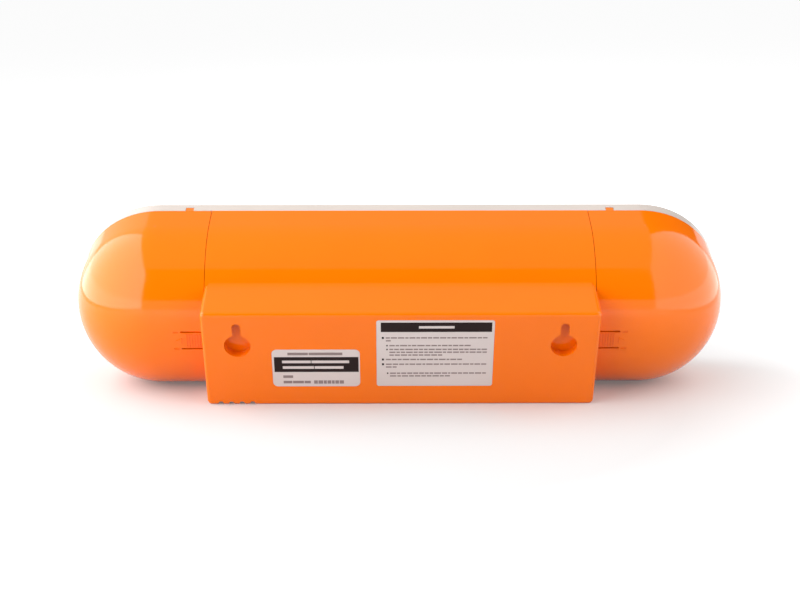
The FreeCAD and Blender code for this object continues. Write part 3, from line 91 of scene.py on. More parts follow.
class ClockColours(bpy.types.PropertyGroup):
    """Colours of the clock's finishes."""

    housing: colour_property("Housing", "#F77400", "Orange of the rear housing and its end caps")
    chassis: colour_property("Chassis", "#F07A1A", "Orange of the frame behind the dial and windows")
    bezel: colour_property("Bezel", "#CDC2BA", "Warm white of the front rim")
    panel: colour_property("Face panel", "#17171A", "Black of the panel round the dial and windows")
    label: colour_property("Labels", "#D2C7C4", "Paper white of the stickers on the back")
    label_ink: colour_property("Label ink", "#1E100F", "Dark brown of the printed bars")
    fine_print: colour_property("Fine print", "#8B7C7A", "Grey that the labels' small dashes read as")
    dial: colour_property("Dial", "#121214", "Black of the dial")
    marks: colour_property("Marks", "#F1EFE8", "White of the numerals, minute marks, hands and legends")
    second_hand: colour_property("Second hand", "#F26B16", "Orange of the second hand")
    leaf: colour_property("Leaves", "#161617", "Black of the flip leaves")


class ClockSizes(bpy.types.PropertyGroup):
    """Sizes of the clock's printing and of its fine surface detail."""

    rating_corner: length_property("Small label's corner", 3.2, "Radius of the small sticker's corners")
    notice_corner: length_property("Large label's corner", 1.6, "Radius of the large sticker's corners")
    ink: length_property("Ink", 0.03, "How far printing stands off what it is printed on")
    numeral: length_property("Numerals", 7.5, "Height of the dial's numerals")
    numeral_ring: length_property("Numeral ring", 28.0, "Radius of the ring that the numerals stand on")
    peel: length_property("Moulding waves", 9.0, "Width of the soft waves in a glossy moulding")
    date_legend: length_property("Date legend", 40.0, "Height of the date's digits")
    word_legend: length_property("Word legend", 24.0, "Height of the letters of the month and day")
    legend: length_property("Legend width", 54.0, "Widest that a legend may be before it is squeezed")
    leaf: length_property("Leaf", 0.2, "Thickness of a flip leaf")
    leaf_gap: length_property("Leaf gap", 0.7, "Bare strip each side of the hinge line")


class ClockLegends(bpy.types.PropertyGroup):
    """What the three windows show, and what they show after the next flip."""

    month: StringProperty(name="Month", description="Month that shows", default="OCT")
    next_month: StringProperty(name="Next month", description="Month after it", default="NOV")
    date: StringProperty(name="Date", description="Date that shows", default="17")
    next_date: StringProperty(name="Next date", description="Date after it", default="18")
    day: StringProperty(name="Day", description="Day of the week that shows", default="FRI")
    next_day: StringProperty(name="Next day", description="Day after it", default="SAT")


def colours():
    """The scene's ClockColours."""
    return bpy.context.scene.clock_colours


def sizes():
    """The scene's ClockSizes."""
    return bpy.context.scene.clock_sizes


def legends():
    """The scene's ClockLegends."""
    return bpy.context.scene.clock_legends


def in_row(points):
    """Leaning points as points in the frame's axes: the sum of each leaning axis times its share."""
    return np.asarray(points, float) @ AXES


def leaning_box(node):
    """Lowest and highest corner of a CAD node along the clock's leaning axes."""
    mesh = frame["nodes"][node].data
    flat = np.empty(len(mesh.vertices) * 3)
    mesh.vertices.foreach_get("co", flat)
    leaning = flat.reshape(-1, 3) @ AXES.T
    return leaning.min(0), leaning.max(0)


def piece(name, points, faces, body, slot, material, smooth=False):
    """A mesh object from leaning points and faces, riding on a body and finished with a material."""
    mesh = bpy.data.meshes.new(name)
    mesh.from_pydata(in_row(points), [], faces)
    mesh.materials.append(material)
    mesh.shade_smooth() if smooth else mesh.shade_flat()
    made = bpy.data.objects.new(name, mesh)
    bpy.context.scene.collection.objects.link(made)
    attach(made, body)
    return made


def skin(rings):
    """Points and faces of closed rings joined in order, with a cap on the first and last ring.

    Ring r's point k joins ring r+1's point k, and the last point of a ring joins its first.
    """
    count, around = rings.shape[:2]
    ring, place = np.meshgrid(np.arange(count - 1), np.arange(around), indexing="ij")
    along = (place + 1) % around
    here, ahead = ring * around, (ring + 1) * around
    quads = np.stack((here + place, here + along, ahead + along, ahead + place), -1)
    caps = [list(range(around))[::-1], list(range((count - 1) * around, count * around))]
    return rings.reshape(-1, 3), quads.reshape(-1, 4).tolist() + caps


def rounded_rectangle(width, height, corner, steps=8):
    """Outline of a rectangle with round corners, anticlockwise from its right side.

    At angle a each point is the corner's centre plus corner radius times (cos a, sin a), and each quarter
    turn of a belongs to the next corner.
    """
    quarter = np.repeat(np.arange(4), steps)
    angle = (quarter + np.tile(np.linspace(0, 1, steps), 4)) * math.pi / 2
    side = np.stack((np.where((quarter == 0) | (quarter == 3), 1, -1), np.where(quarter < 2, 1, -1)), -1)
    centre = side * (np.array((width, height)) / 2 - corner)
    return centre + corner * np.stack((np.cos(angle), np.sin(angle)), -1)


def plates(rectangles, back, front):
    """Points and faces of thin upright plates, one for each (x, z, width, height) about its middle.

    Each corner is the middle plus or minus half the width and height, at the back and at the front depth.
    """
    rectangles = np.asarray(rectangles, float)
    signs = np.array(((-1, -1), (1, -1), (1, 1), (-1, 1)))
    flat = rectangles[:, None, :2] + signs * rectangles[:, None, 2:] / 2
    points = np.empty((len(rectangles), 2, 4, 3))
    points[..., 0] = flat[:, None, :, 0]
    points[..., 2] = flat[:, None, :, 1]
    points[:, 0, :, 1] = back
    points[:, 1, :, 1] = front
    box = np.array(((0, 1, 2, 3), (7, 6, 5, 4), (4, 5, 1, 0), (5, 6, 2, 1), (6, 7, 3, 2), (7, 4, 0, 3)))
    box = box if front > back else box[:, ::-1]
    faces = box[None] + 8 * np.arange(len(rectangles))[:, None, None]
    return points.reshape(-1, 3), faces.reshape(-1, 4).tolist()


def add_node(tree, kind, inputs=None, **settings):
    """Adds one node to a material's tree, with its settings, and its inputs' values or links."""
    made = tree.nodes.new(kind)
    for name, value in settings.items():
        setattr(made, name, value)
    for key, value in (inputs or {}).items():
        if isinstance(value, bpy.types.NodeSocket):
            tree.links.new(value, made.inputs[key])
        else:
            made.inputs[key].default_value = value
    return made


def new_material(name):
    """An empty node material: its tree, its shader and the object coordinates in metres, turned to lean
    with the clock."""
    material = bpy.data.materials.new(name)
    material.use_nodes = True
    tree = material.node_tree
    tree.nodes.clear()
    shader = add_node(tree, "ShaderNodeBsdfPrincipled")
    add_node(tree, "ShaderNodeOutputMaterial", {"Surface": shader.outputs["BSDF"]})
    place = add_node(tree, "ShaderNodeTexCoord").outputs["Object"]
    leaning = add_node(tree, "ShaderNodeMapping", {"Vector": place, "Rotation": (LEAN, 0, 0)})
    return material, tree, shader, leaning.outputs["Vector"]


def set_inputs(shader, **values):
    """Sets a shader's own sockets, named with underscores for spaces."""
    for name, value in values.items():
        shader.inputs[name.replace("_", " ")].default_value = value


def vary(tree, place, size, low, high, detail=2.0):
    """A soft random value between low and high that changes over about the given size, in metres."""
    cloud = add_node(tree, "ShaderNodeTexNoise", {"Vector": place, "Scale": 1 / size, "Detail": detail})
    spread = add_node(
        tree,
        "ShaderNodeMapRange",
        {"Value": cloud.outputs["Fac"], "From Min": 0.3, "From Max": 0.7, "To Min": low, "To Max": high},
    )
    return spread.outputs["Result"]


def clouded(tree, place, size, colour, dark):
    """The colour with soft clouds of the given size in which it is darker by the share dark."""
    deeper = tuple(c * (1 - dark) for c in tuple(colour)[:3]) + (1.0,)
    inputs = {0: vary(tree, place, size, 0.0, 1.0), 6: tuple(colour), 7: deeper}
    return add_node(tree, "ShaderNodeMix", inputs, data_type="RGBA").outputs[2]


def relief(tree, shader, place, size, depth, detail=2.0):
    """Bumps of the given width and depth, in metres, on a shader."""
    cloud = add_node(tree, "ShaderNodeTexNoise", {"Vector": place, "Scale": 1 / size, "Detail": detail})
    bump = add_node(
        tree, "ShaderNodeBump", {"Height": cloud.outputs["Fac"], "Distance": depth, "Strength": 1.0}
    )
    tree.links.new(bump.outputs["Normal"], shader.inputs["Normal"])


def moulded_plastic(name, colour, roughness, grain, depth, uneven=0.06, mottle=0.05, IOR=1.5, **more):
    """A moulded plastic: grain and depth are the width and depth of its skin's relief in metres, uneven is
    how much its gloss wanders, and mottle how much darker its flow clouds are."""
    material, tree, shader, place = new_material(name)
    set_inputs(shader, IOR=IOR, **more)
    tree.links.new(clouded(tree, place, 40 * MM, colour, mottle), shader.inputs["Base Color"])
    gloss = vary(tree, place, 12 * MM, roughness, roughness + uneven, 4.0)
    tree.links.new(gloss, shader.inputs["Roughness"])
    relief(tree, shader, place, grain, depth)
    return material


def worked_metal(name, colour, roughness, stretch, mark, depth):
    """A worked metal: marks of the given width in metres, drawn out by stretch along each axis."""
    material, tree, shader, place = new_material(name)
    set_inputs(shader, Metallic=1.0)
    drawn = add_node(tree, "ShaderNodeMapping", {"Vector": place, "Scale": stretch}).outputs["Vector"]
    tree.links.new(clouded(tree, drawn, mark * 4, colour, 0.15), shader.inputs["Base Color"])
    tree.links.new(vary(tree, drawn, mark, roughness, roughness + 0.15), shader.inputs["Roughness"])
    relief(tree, shader, drawn, mark, depth)
    return material


def finish(material, *nodes):
    """Gives CAD nodes a material in place of the one they came with."""
    for node in nodes:
        materials = frame["nodes"][node].data.materials
        for at in range(len(materials)):
            materials[at] = material


class CLOCK_OT_case(bpy.types.Operator):
    """Finishes the moulded case: housing, end caps, bezel, lens, chassis, face panel and screws"""

    bl_idname = "clock.case"
    bl_label = "Case"

    def execute(self, context):
        # Glossy injection-moulded ABS: deep orange that mirrors lamps softly, with faint moulding waves.
        orange = moulded_plastic(
            "glossy_orange_abs", colours().housing, 0.09, sizes().peel, 0.012 * MM,
            uneven=0.03, mottle=0.03, IOR=1.42,
        )
        finish(orange, "rear_housing", "left_end_cap", "right_end_cap")
        # The same ABS in warm white: a clean rim that catches a line of light.
        cream = moulded_plastic("glossy_cream_abs", colours().bezel, 0.2, sizes().peel, 0.012 * MM)
        finish(cream, "front_bezel")
        # Moulded ABS off a plainer tool: the orange is duller than the housing's.
        dull = moulded_plastic("satin_orange_abs", colours().chassis, 0.34, 1.2 * MM, 0.006 * MM)
        finish(dull, "chassis")
        # Screen-printed black on polystyrene: even and nearly matt, so that the white legends stand out.
        black = moulded_plastic("printed_black_styrene", colours().panel, 0.5, 1.5 * MM, 0.004 * MM)
        finish(black, "face_panel")
        finish(clear_acrylic(), "lens")
        finish(zinc_plated_steel(), "chassis_screws")
        return {"FINISHED"}


def clear_acrylic():
    """Cast acrylic sheet: clear, with a slight haze where it has been wiped."""
    material, tree, shader, place = new_material("clear_acrylic")
    set_inputs(shader, Base_Color=linear("#FBFDFD"), IOR=1.49, Transmission_Weight=1.0)
    tree.links.new(vary(tree, place, 25 * MM, 0.0, 0.04, 4.0), shader.inputs["Roughness"])
    return material


def zinc_plated_steel():
    """Zinc-plated pressed steel: a cold grey metal with a cloudy sheen and fine rolling marks."""
    return worked_metal("zinc_plated_steel", linear("#B9BCC0"), 0.28, (1, 1, 6), 0.8 * MM, 0.004 * MM)


class CLOCK_OT_labels(bpy.types.Operator):
    """Sticks two unlettered labels on the back, with bars and rows of dashes in place of words"""

    bl_idname = "clock.labels"
    bl_label = "Labels"

    def execute(self, context):
        # Coated paper sticker: an even warm white with a faint fibre and a soft sheen.
        paper = moulded_plastic(
            "coated_label_paper", colours().label, 0.38, 0.5 * MM, 0.008 * MM, mottle=0.04
        )
        # Offset ink: a flat dark brown that soaks in, duller than the paper.
        ink = moulded_plastic("label_ink", colours().label_ink, 0.6, 0.5 * MM, 0.004 * MM, IOR=1.3)
        # The same ink in strokes too thin to tell apart, which reads as grey.
        fine = moulded_plastic("fine_print_ink", colours().fine_print, 0.6, 0.5 * MM, 0.004 * MM, IOR=1.3)
        finishes = (paper, ink, fine)
        band = (0.004, 0.099, 0.96, 0.404)
        titles = print_line(-0.385, 0.385, 0.173, 0.07, 0.4) + print_line(-0.38, 0.32, 0.02, 0.07, 0.35)
        rows = (
            print_line(-0.32, 0.31, 0.385, 0.07, 0.32)
            + print_line(-0.38, -0.26, -0.23, 0.07, 0.12)
            + print_line(-0.38, -0.06, -0.38, 0.07, 0.12)
            + print_line(-0.03, 0.32, -0.38, 0.09, 0.05)
        )
        label("rating_label", sizes().rating_corner, finishes, [band], titles, rows)
        rows = (
            paragraph(0.239, -0.42, 2, -0.37)
            + paragraph(0.123, -0.39, 1, 0.31)
            + paragraph(0.065, -0.39, 3, 0.07)
            + paragraph(-0.088, -0.42, 1, 0.24)
            + paragraph(-0.161, -0.42, 2, -0.32)
            + paragraph(-0.3, -0.385, 2, 0.14)
        )
        band = (0.008, 0.3975, 0.94, 0.14)
        title = (0.01, 0.3975, 0.3, 0.035)
        # A spot leads each block of small print, and those of the indented blocks are smaller.
        outer_blocks = ((0.239, -0.42), (-0.088, -0.42), (-0.161, -0.42))
        inner_blocks = ((0.123, -0.39), (0.065, -0.39), (-0.3, -0.385))
        spots = [(indent - 0.025, z, 0.018, 0.03) for z, indent in outer_blocks]
        spots += [(indent - 0.02, z, 0.012, 0.022) for z, indent in inner_blocks]
        label("notice_label", sizes().notice_corner, finishes, [band, *spots], [title], rows)
        return {"FINISHED"}


def print_line(start, end, z, tall, word):
    """Dashes about a word long along a line of print, as shares of a label's width and height.

    The line is cut into equal words, each cut moves by up to a quarter of a word, and each word gives up
    a short gap at its end.
    """
    count = max(1, round((end - start) / word))
    cuts = np.linspace(start, end, count + 1)
    cuts[1:-1] += np.random.default_rng(round(500 * (z + 1))).uniform(-word / 4, word / 4, count - 1)
    gap = 0.008
    return [((a + b - gap) / 2, z, b - a - gap, tall) for a, b in zip(cuts, cuts[1:])]


def paragraph(top, indent, lines, last_end):
    """Rows of dashes for a block of small print whose last line stops short, as shares of a label."""
    full_end, pitch = 0.45, 0.043
    ends = [full_end] * (lines - 1) + [last_end]
    return sum((print_line(indent, end, top - row * pitch, 0.02, 0.05) for row, end in enumerate(ends)), [])


def label(node, corner, finishes, bands, titles, rows):
    """A sticker in a label node's place, with dark bands, paper-white titles and rows of fine dashes.

    The sticker is a rounded rectangle carried through four rings: its back, its edge, a slightly smaller
    front and the front again, so its rim is round. Marks are shares of its width and height, and are seen
    from behind, so their x is turned over. The finishes are those of paper, ink and small print.
    """
    paper, ink, fine = finishes
    low, high = leaning_box(node)
    middle = (low + high) / 2
    width, depth, height = high - low
    rim = depth / 3
    insets = np.array((0.0, 0.0, rim / 3, rim))
    depths = np.array((low[1], high[1] - rim, high[1] - rim / 3, high[1]))
    outlines = np.array(
        [rounded_rectangle(width - 2 * inset, height - 2 * inset, corner - inset) for inset in insets]
    )
    rings = np.empty((*outlines.shape[:2], 3))
    rings[..., 0] = middle[0] - outlines[..., 0]
    rings[..., 1] = depths[:, None]
    rings[..., 2] = middle[2] + outlines[..., 1]
    sheet = piece(node + "_sheet", *skin(rings), "clock_body", "white_label", paper)
    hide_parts(node)
    scale = np.array((-width, height, width, height))
    shift = np.array((middle[0], middle[2], 0, 0))
    layers = (("bands", bands, ink, 1), ("rows", rows, fine, 1), ("titles", titles, paper, 2))
    for kind, marks, material, layer in layers:
        front = high[1] + layer * sizes().ink
        printed = plates(np.array(marks) * scale + shift, high[1] - rim / 2, front)
        piece(f"{node}_{kind}", *printed, "clock_body", "white_label", material)


class CLOCK_OT_dial(bpy.types.Operator):
    """Prints the dial's numerals and minute marks and finishes its hands"""

    bl_idname = "clock.dial"
    bl_label = "Dial"

    def execute(self, context):
        # Matt lacquer on a pressed dial: a deep black with a very fine grain.
        finish(moulded_plastic("dial_lacquer", colours().dial, 0.55, 0.4 * MM, 0.006 * MM), "clock_dial")
        # Screen ink and hand paint: a warm white, nearly matt.
        white = moulded_plastic("white_screen_ink", colours().marks, 0.45, 0.4 * MM, 0.004 * MM)
        finish(white, "hour_hand", "minute_hand")
        # Sprayed enamel on a pressed hand: bright orange with a soft shine.
        enamel = moulded_plastic("orange_enamel", colours().second_hand, 0.3, 0.5 * MM, 0.004 * MM)
        finish(enamel, "second_hand")
        low, high = leaning_box("clock_dial")
        front = low[1]
        middle = (low + high) / 2
        minute = np.arange(60)
        hour_mark = minute % 5 == 0
        angle = minute * math.tau / 60
        rim = 4.5 * MM
        under = 0.1 * MM
        outer = (high[0] - low[0]) / 2 - rim
        inner = outer - np.where(hour_mark, 4.2 * MM, 2.2 * MM)
        half = np.where(hour_mark, 1.5 * MM, 0.5 * MM) / 2
        out = np.stack((np.sin(angle), np.cos(angle)), -1)
        aside = np.stack((np.cos(angle), -np.sin(angle)), -1)
        corners = np.stack(
            (
                out * inner[:, None] - aside * half[:, None],
                out * inner[:, None] + aside * half[:, None],
                out * outer + aside * half[:, None],
                out * outer - aside * half[:, None],
            ),
            1,
        )
        points, faces = plates(np.ones((60, 4)), front + under, front - sizes().ink)
        points = points.reshape(60, 2, 4, 3)
        points[..., 0] = middle[0] + corners[:, None, :, 0]
        points[..., 2] = middle[2] + corners[:, None, :, 1]
        piece("dial_minute_marks", points.reshape(-1, 3), faces, "clock_body", "dial_black", white)
        for hour in range(1, 13):
            turn = hour * math.tau / 12
            x = middle[0] + sizes().numeral_ring * math.sin(turn)
            z = middle[2] + sizes().numeral_ring * math.cos(turn)
            outline, triangles = lettering(str(hour), sizes().numeral, weight=0.0)
            points, faces = slab(outline + (x, z), triangles, front + under, front - sizes().ink)
            piece(f"dial_numeral_{hour}", points, faces, "clock_body", "dial_black", white)
        return {"FINISHED"}


def lettering(text, height, widest=1.0, weight=0.014):
    """Flat points, x and z about the text's middle, and triangles of words in the plain font.

    The letters are thickened by weight times their size, filled, scaled to the height, and squeezed where
    they would be wider than widest.
    """
    curve = bpy.data.curves.new("lettering", "FONT")
    curve.body = text
    curve.offset = weight
    curve.resolution_u = 6
    holder = bpy.data.objects.new("lettering", curve)
    mesh = bpy.data.meshes.new_from_object(holder)
    bpy.data.objects.remove(holder)
    bpy.data.curves.remove(curve)
    mesh.calc_loop_triangles()
    flat = np.empty(len(mesh.vertices) * 3)
    mesh.vertices.foreach_get("co", flat)
    triangles = np.empty(len(mesh.loop_triangles) * 3, int)
    mesh.loop_triangles.foreach_get("vertices", triangles)
    bpy.data.meshes.remove(mesh)
    points = flat.reshape(-1, 3)[:, :2]
    low, high = points.min(0), points.max(0)
    across, tall = high - low
    scale = np.array((min(height / tall, widest / across), height / tall))
    return (points - (low + high) / 2) * scale, triangles.reshape(-1, 3)


def slab(outline, triangles, back, front):
    """Points and faces of a flat filled shape given a thickness: the shape at both depths, and a wall along
    each edge that only one triangle has."""
    count = len(outline)
    points = np.empty((2, count, 3))
    points[..., 0] = outline[:, 0]
    points[..., 2] = outline[:, 1]
    points[0, :, 1] = back
    points[1, :, 1] = front
    edges = np.concatenate((triangles[:, (0, 1)], triangles[:, (1, 2)], triangles[:, (2, 0)]))
    ordered = np.sort(edges, 1)
    _, first, seen = np.unique(ordered, axis=0, return_index=True, return_counts=True)
    rim = edges[first[seen == 1]]
    walls = np.stack((rim[:, 0], rim[:, 1], rim[:, 1] + count, rim[:, 0] + count), -1)
    faces = [triangles[:, ::-1].tolist(), (triangles + count).tolist(), walls.tolist()]
    flip = area_sign(outline, triangles) * (1 if front < back else -1)
    joined = sum(faces, [])
    joined = joined if flip > 0 else [face[::-1] for face in joined]
    return points.reshape(-1, 3), joined


def area_sign(outline, triangles):
    """1 where the triangles turn anticlockwise in x and z, and -1 where they turn clockwise."""
    a, b, c = (outline[triangles[:, at]] for at in range(3))
    doubled = (b - a)[:, 0] * (c - a)[:, 1] - (b - a)[:, 1] * (c - a)[:, 0]
    return 1 if doubled.sum() > 0 else -1


class CLOCK_OT_works(bpy.types.Operator):
    """Finishes the clock movement, the calendar's motor, gears, shaft and rods, the cell tray and contacts"""

    bl_idname = "clock.works"
    bl_label = "Works"

    def execute(self, context):
        # Textured black ABS: the plain dark case of a clock movement.
        black = moulded_plastic("textured_black_abs", linear("#1B1B1D"), 0.5, 0.8 * MM, 0.02 * MM)
        finish(black, "movement_case", "movement_cover", "time_setting_knob", "clock_cell_tray")
        # Acetal: milky white gears with a waxy shine.
        acetal = moulded_plastic(
            "milky_acetal", linear("#E9E6DC"), 0.32, 0.6 * MM, 0.004 * MM,
            Subsurface_Weight=0.15, Subsurface_Scale=1.5 * MM,
        )
        gears = ("hour_wheel", "minute_wheel", "second_wheel", "motion_idler")
        finish(acetal, *gears, "reduction_gear", "date_drum_gear")
        # Turned brass: yellow metal with fine rings from the lathe.
        brass = worked_metal("turned_brass", linear("#D8B566"), 0.2, (1, 5, 1), 0.3 * MM, 0.003 * MM)
        finish(brass, "movement_nut", "motor_pinion")
        steel = zinc_plated_steel()
        finish(steel, "calendar_motor", "drum_shaft", "frame_tie_rods", "reduction_pin", "motor_bracket")
        # Rolled spring steel: brighter than the plated parts, with long fine marks.
        spring = worked_metal("rolled_spring_steel", linear("#C9CACB"), 0.2, (1, 1, 8), 0.4 * MM, 0.002 * MM)
        finish(spring, "cell_contacts", "leaf_catches")
        return {"FINISHED"}


class CLOCK_OT_power(bpy.types.Operator):
    """Finishes the cells with their jackets, the control board, the mode switch and the wires"""

    bl_idname = "clock.power"
    bl_label = "Cells and board"

    def execute(self, context):
        finish(cell_jacket("small_cell_wrap", "clock_cells", linear("#2A4A7B")), "clock_cells")
        finish(cell_jacket("large_cell_wrap", "calendar_cells", linear("#7A2A2A")), "calendar_cells")
        # Black ABS tray, moulded plain and satin.
        tray = moulded_plastic("satin_black_abs", linear("#222224"), 0.42, 1.0 * MM, 0.008 * MM)
        finish(tray, "calendar_cell_tray")
        finish(solder_masked_board(), "control_board", "movement_board")
        # Epoxy and phenolic packages: dull black.
        epoxy = moulded_plastic("moulded_epoxy", linear("#1A1A1A"), 0.55, 0.3 * MM, 0.006 * MM)
        finish(epoxy, "board_parts")
        phenolic = moulded_plastic("black_switch_phenolic", linear("#202022"), 0.45, 0.4 * MM, 0.006 * MM)
        finish(phenolic, "switch_case")
        # Red ABS, polished by fingers.
        red = moulded_plastic("red_slider_abs", linear("#B5261E"), 0.3, 0.8 * MM, 0.005 * MM)
        finish(red, "switch_slider")
        # PVC wire sheath: soft red with a low shine.
        sheath = moulded_plastic("red_pvc_sheath", linear("#B0201C"), 0.38, 1.5 * MM, 0.01 * MM)
        finish(sheath, "calendar_wires")
        finish(copper_winding(), "movement_coil")
        return {"FINISHED"}


def cell_jacket(name, node, wrap):
    """A dry cell's shrink wrap: a shiny coloured sleeve with a silver-grey band round its upper part.

    The band starts a fifth of the cell's length above its middle.
    """
    material, tree, shader, place = new_material(name)
    low, high = leaning_box(node)
    band = (low[2] + high[2]) / 2 + (high[2] - low[2]) / 5
    height = add_node(tree, "ShaderNodeSeparateXYZ", {"Vector": place}).outputs["Z"]
    above = add_node(tree, "ShaderNodeMath", {0: height, 1: band}, operation="GREATER_THAN").outputs["Value"]
    sleeve = add_node(tree, "ShaderNodeMix", {0: above, 6: wrap, 7: linear("#C9CCD0")}, data_type="RGBA")
    tree.links.new(sleeve.outputs[2], shader.inputs["Base Color"])
    tree.links.new(vary(tree, place, 8 * MM, 0.22, 0.3), shader.inputs["Roughness"])
    relief(tree, shader, place, 3 * MM, 0.01 * MM)
    return material


def solder_masked_board():
    """Glass-epoxy circuit board under green solder mask: copper tracks show as a paler green."""
    material, tree, shader, place = new_material("green_solder_mask")
    spacing = 2.5 * MM
    cells = add_node(
        tree, "ShaderNodeTexVoronoi", {"Vector": place, "Scale": 1 / spacing}, distance="MANHATTAN"
    )
    edge = add_node(
        tree, "ShaderNodeMath", {0: cells.outputs["Distance"], 1: 0.35}, operation="LESS_THAN"
    ).outputs["Value"]
    shades = {0: edge, 6: linear("#1E5A38"), 7: linear("#2F7A4C")}
    green = add_node(tree, "ShaderNodeMix", shades, data_type="RGBA")
    tree.links.new(green.outputs[2], shader.inputs["Base Color"])
    tree.links.new(vary(tree, place, 6 * MM, 0.25, 0.35), shader.inputs["Roughness"])
    relief(tree, shader, place, 1 * MM, 0.01 * MM)
    return material


def copper_winding():
    """Enamelled copper wire wound on a bobbin: dark copper with a fine line for each turn."""
    material, tree, shader, place = new_material("enamelled_copper_winding")
    set_inputs(shader, Metallic=1.0)
    wire = 0.4 * MM
    bands_in_unit = 6
    turns = add_node(
        tree, "ShaderNodeTexWave", {"Vector": place, "Scale": 1 / wire / bands_in_unit, "Distortion": 0.0},
        bands_direction="X",
    )
    shades = {0: turns.outputs["Fac"], 6: linear("#6E2F16"), 7: linear("#C8703C")}
    copper = add_node(tree, "ShaderNodeMix", shades, data_type="RGBA")
    tree.links.new(copper.outputs[2], shader.inputs["Base Color"])
    tree.links.new(vary(tree, place, 3 * MM, 0.25, 0.4), shader.inputs["Roughness"])
    bump = add_node(
        tree, "ShaderNodeBump", {"Height": turns.outputs["Fac"], "Distance": 0.05 * MM, "Strength": 1.0}
    )
    tree.links.new(bump.outputs["Normal"], shader.inputs["Normal"])
    return material


class CLOCK_OT_calendar(bpy.types.Operator):
    """Finishes the drums, plates and flip leaves, and prints the legends on the leaves that show"""

    bl_idname = "clock.calendar"
    bl_label = "Calendar"

    def execute(self, context):
        # Grey ABS drums, moulded satin.
        grey = moulded_plastic("satin_grey_abs", linear("#8C8E90"), 0.42, 1.0 * MM, 0.008 * MM)
        finish(grey, "month_drum", "date_drum", "day_drum")
        # White ABS thumb wheel.
        wheel = moulded_plastic("white_wheel_abs", linear("#E8E6E0"), 0.3, 1.0 * MM, 0.006 * MM)
        finish(wheel, "day_setting_wheel")
        finish(zinc_plated_steel(), "frame_plate_1", "frame_plate_2", "frame_plate_3", "frame_plate_4")
        # Matt black PVC sheet: the leaves hardly shine, so the legends read from any side.
        leaf = moulded_plastic("matt_black_pvc", colours().leaf, 0.5, 0.5 * MM, 0.006 * MM)
        # Screen ink on PVC: a warm white with a faint grain.
        white = moulded_plastic("white_legend_ink", colours().marks, 0.45, 0.4 * MM, 0.004 * MM)
        words = legends()
        tall = sizes().word_legend
        windows = (
            ("month", words.month, words.next_month, tall),
            ("date", words.date, words.next_date, sizes().date_legend),
            ("day", words.day, words.next_day, tall),
        )
        for window, now, after, height in windows:
            finish(leaf, f"{window}_leaves", f"{window}_flip_leaf")
            flip_legends(window, now, after, height, white)
        return {"FINISHED"}


def flip_legends(window, now, after, height, ink):
    """Prints the four half legends that a window can show.

    The flip leaf carries the upper half of what shows now on its front and, upside down, the lower half of
    what comes next on its back. The fixed stack shows the lower half of now below the hinge and, on
    the leaf behind the flip leaf, the upper half of what comes next. That leaf's hinge is one step of the
    drum higher, and the leaf leans back by that step: its legend starts above that hinge and is turned by
    the step about it.
    """
    low, high = leaning_box(window + "_flip_leaf")
    middle = (low + high) / 2
    axis = drum_axis()
    hinge_radius = axis[1] - middle[1]
    step = math.tau / LEAF_COUNTS[window]
    next_hinge = axis + hinge_radius * np.array((0.0, -math.cos(step), math.sin(step)))
    widest = sizes().legend
    shapes = {"now": lettering(now, height, widest), "after": lettering(after, height, widest)}
    halves = (
        ("now", "upper", f"{window}_leaf", middle[1], -1),
        ("after", "lower", f"{window}_leaf", middle[1], 1),
        ("now", "lower", "clock_body", next_hinge[1], -1),
        ("after", "upper", "clock_body", next_hinge[1], -1),
    )
    for value, side, body, sheet_y, outward in halves:
        is_leaned = body == "clock_body" and side == "upper"
        bare = sizes().leaf_gap
        if is_leaned:
            bare = max(bare, next_hinge[2] - axis[2])
        flat, kept = half(*shapes[value], 1 if side == "upper" else -1, bare)
        is_back = outward > 0
        upright = flat * (1, -1) if is_back else flat
        face = sheet_y + outward * sizes().leaf / 2
        skin_depth = sizes().ink * outward
        points, faces = slab(upright + (middle[0], axis[2]), kept, face - skin_depth, face + skin_depth)
        if is_leaned:
            points = leaned(points, next_hinge, step)
        piece(f"{window}_{value}_{side}", points, faces, body, "leaf_black", ink)


def leaned(points, hinge, turn):
    """Points turned back about a hinge that runs across the clock.

    A point's y becomes y cos(turn) + z sin(turn), and its z becomes z cos(turn) - y sin(turn).
    """
    x, y, z = (points - hinge).T
    cosine, sine = math.cos(turn), math.sin(turn)
    return np.stack((x, y * cosine + z * sine, z * cosine - y * sine), -1) + hinge


def half(outline, triangles, side, gap):
    """The part of a flat filled shape above the gap (side 1) or below it (side -1).

    Blender's bisect cuts the triangles along the line z = side times gap.
    """
    cut = bmesh.new()
    made = [cut.verts.new((x, z, 0)) for x, z in outline]
    for a, b, c in triangles:
        cut.faces.new((made[a], made[b], made[c]))
    everything = cut.verts[:] + cut.edges[:] + cut.faces[:]
    bmesh.ops.bisect_plane(
        cut, geom=everything, plane_co=(0, side * gap, 0), plane_no=(0, side, 0), clear_inner=True
    )
    bmesh.ops.triangulate(cut, faces=cut.faces[:])
    cut.verts.index_update()
    points = np.array([v.co[:2] for v in cut.verts])
    kept = np.array([[v.index for v in f.verts] for f in cut.faces])
    cut.free()
    return points, kept


def drum_axis():
    """Middle of the shaft that the drums turn on, along the clock's leaning axes."""
    low, high = leaning_box("drum_shaft")
    return (low + high) / 2


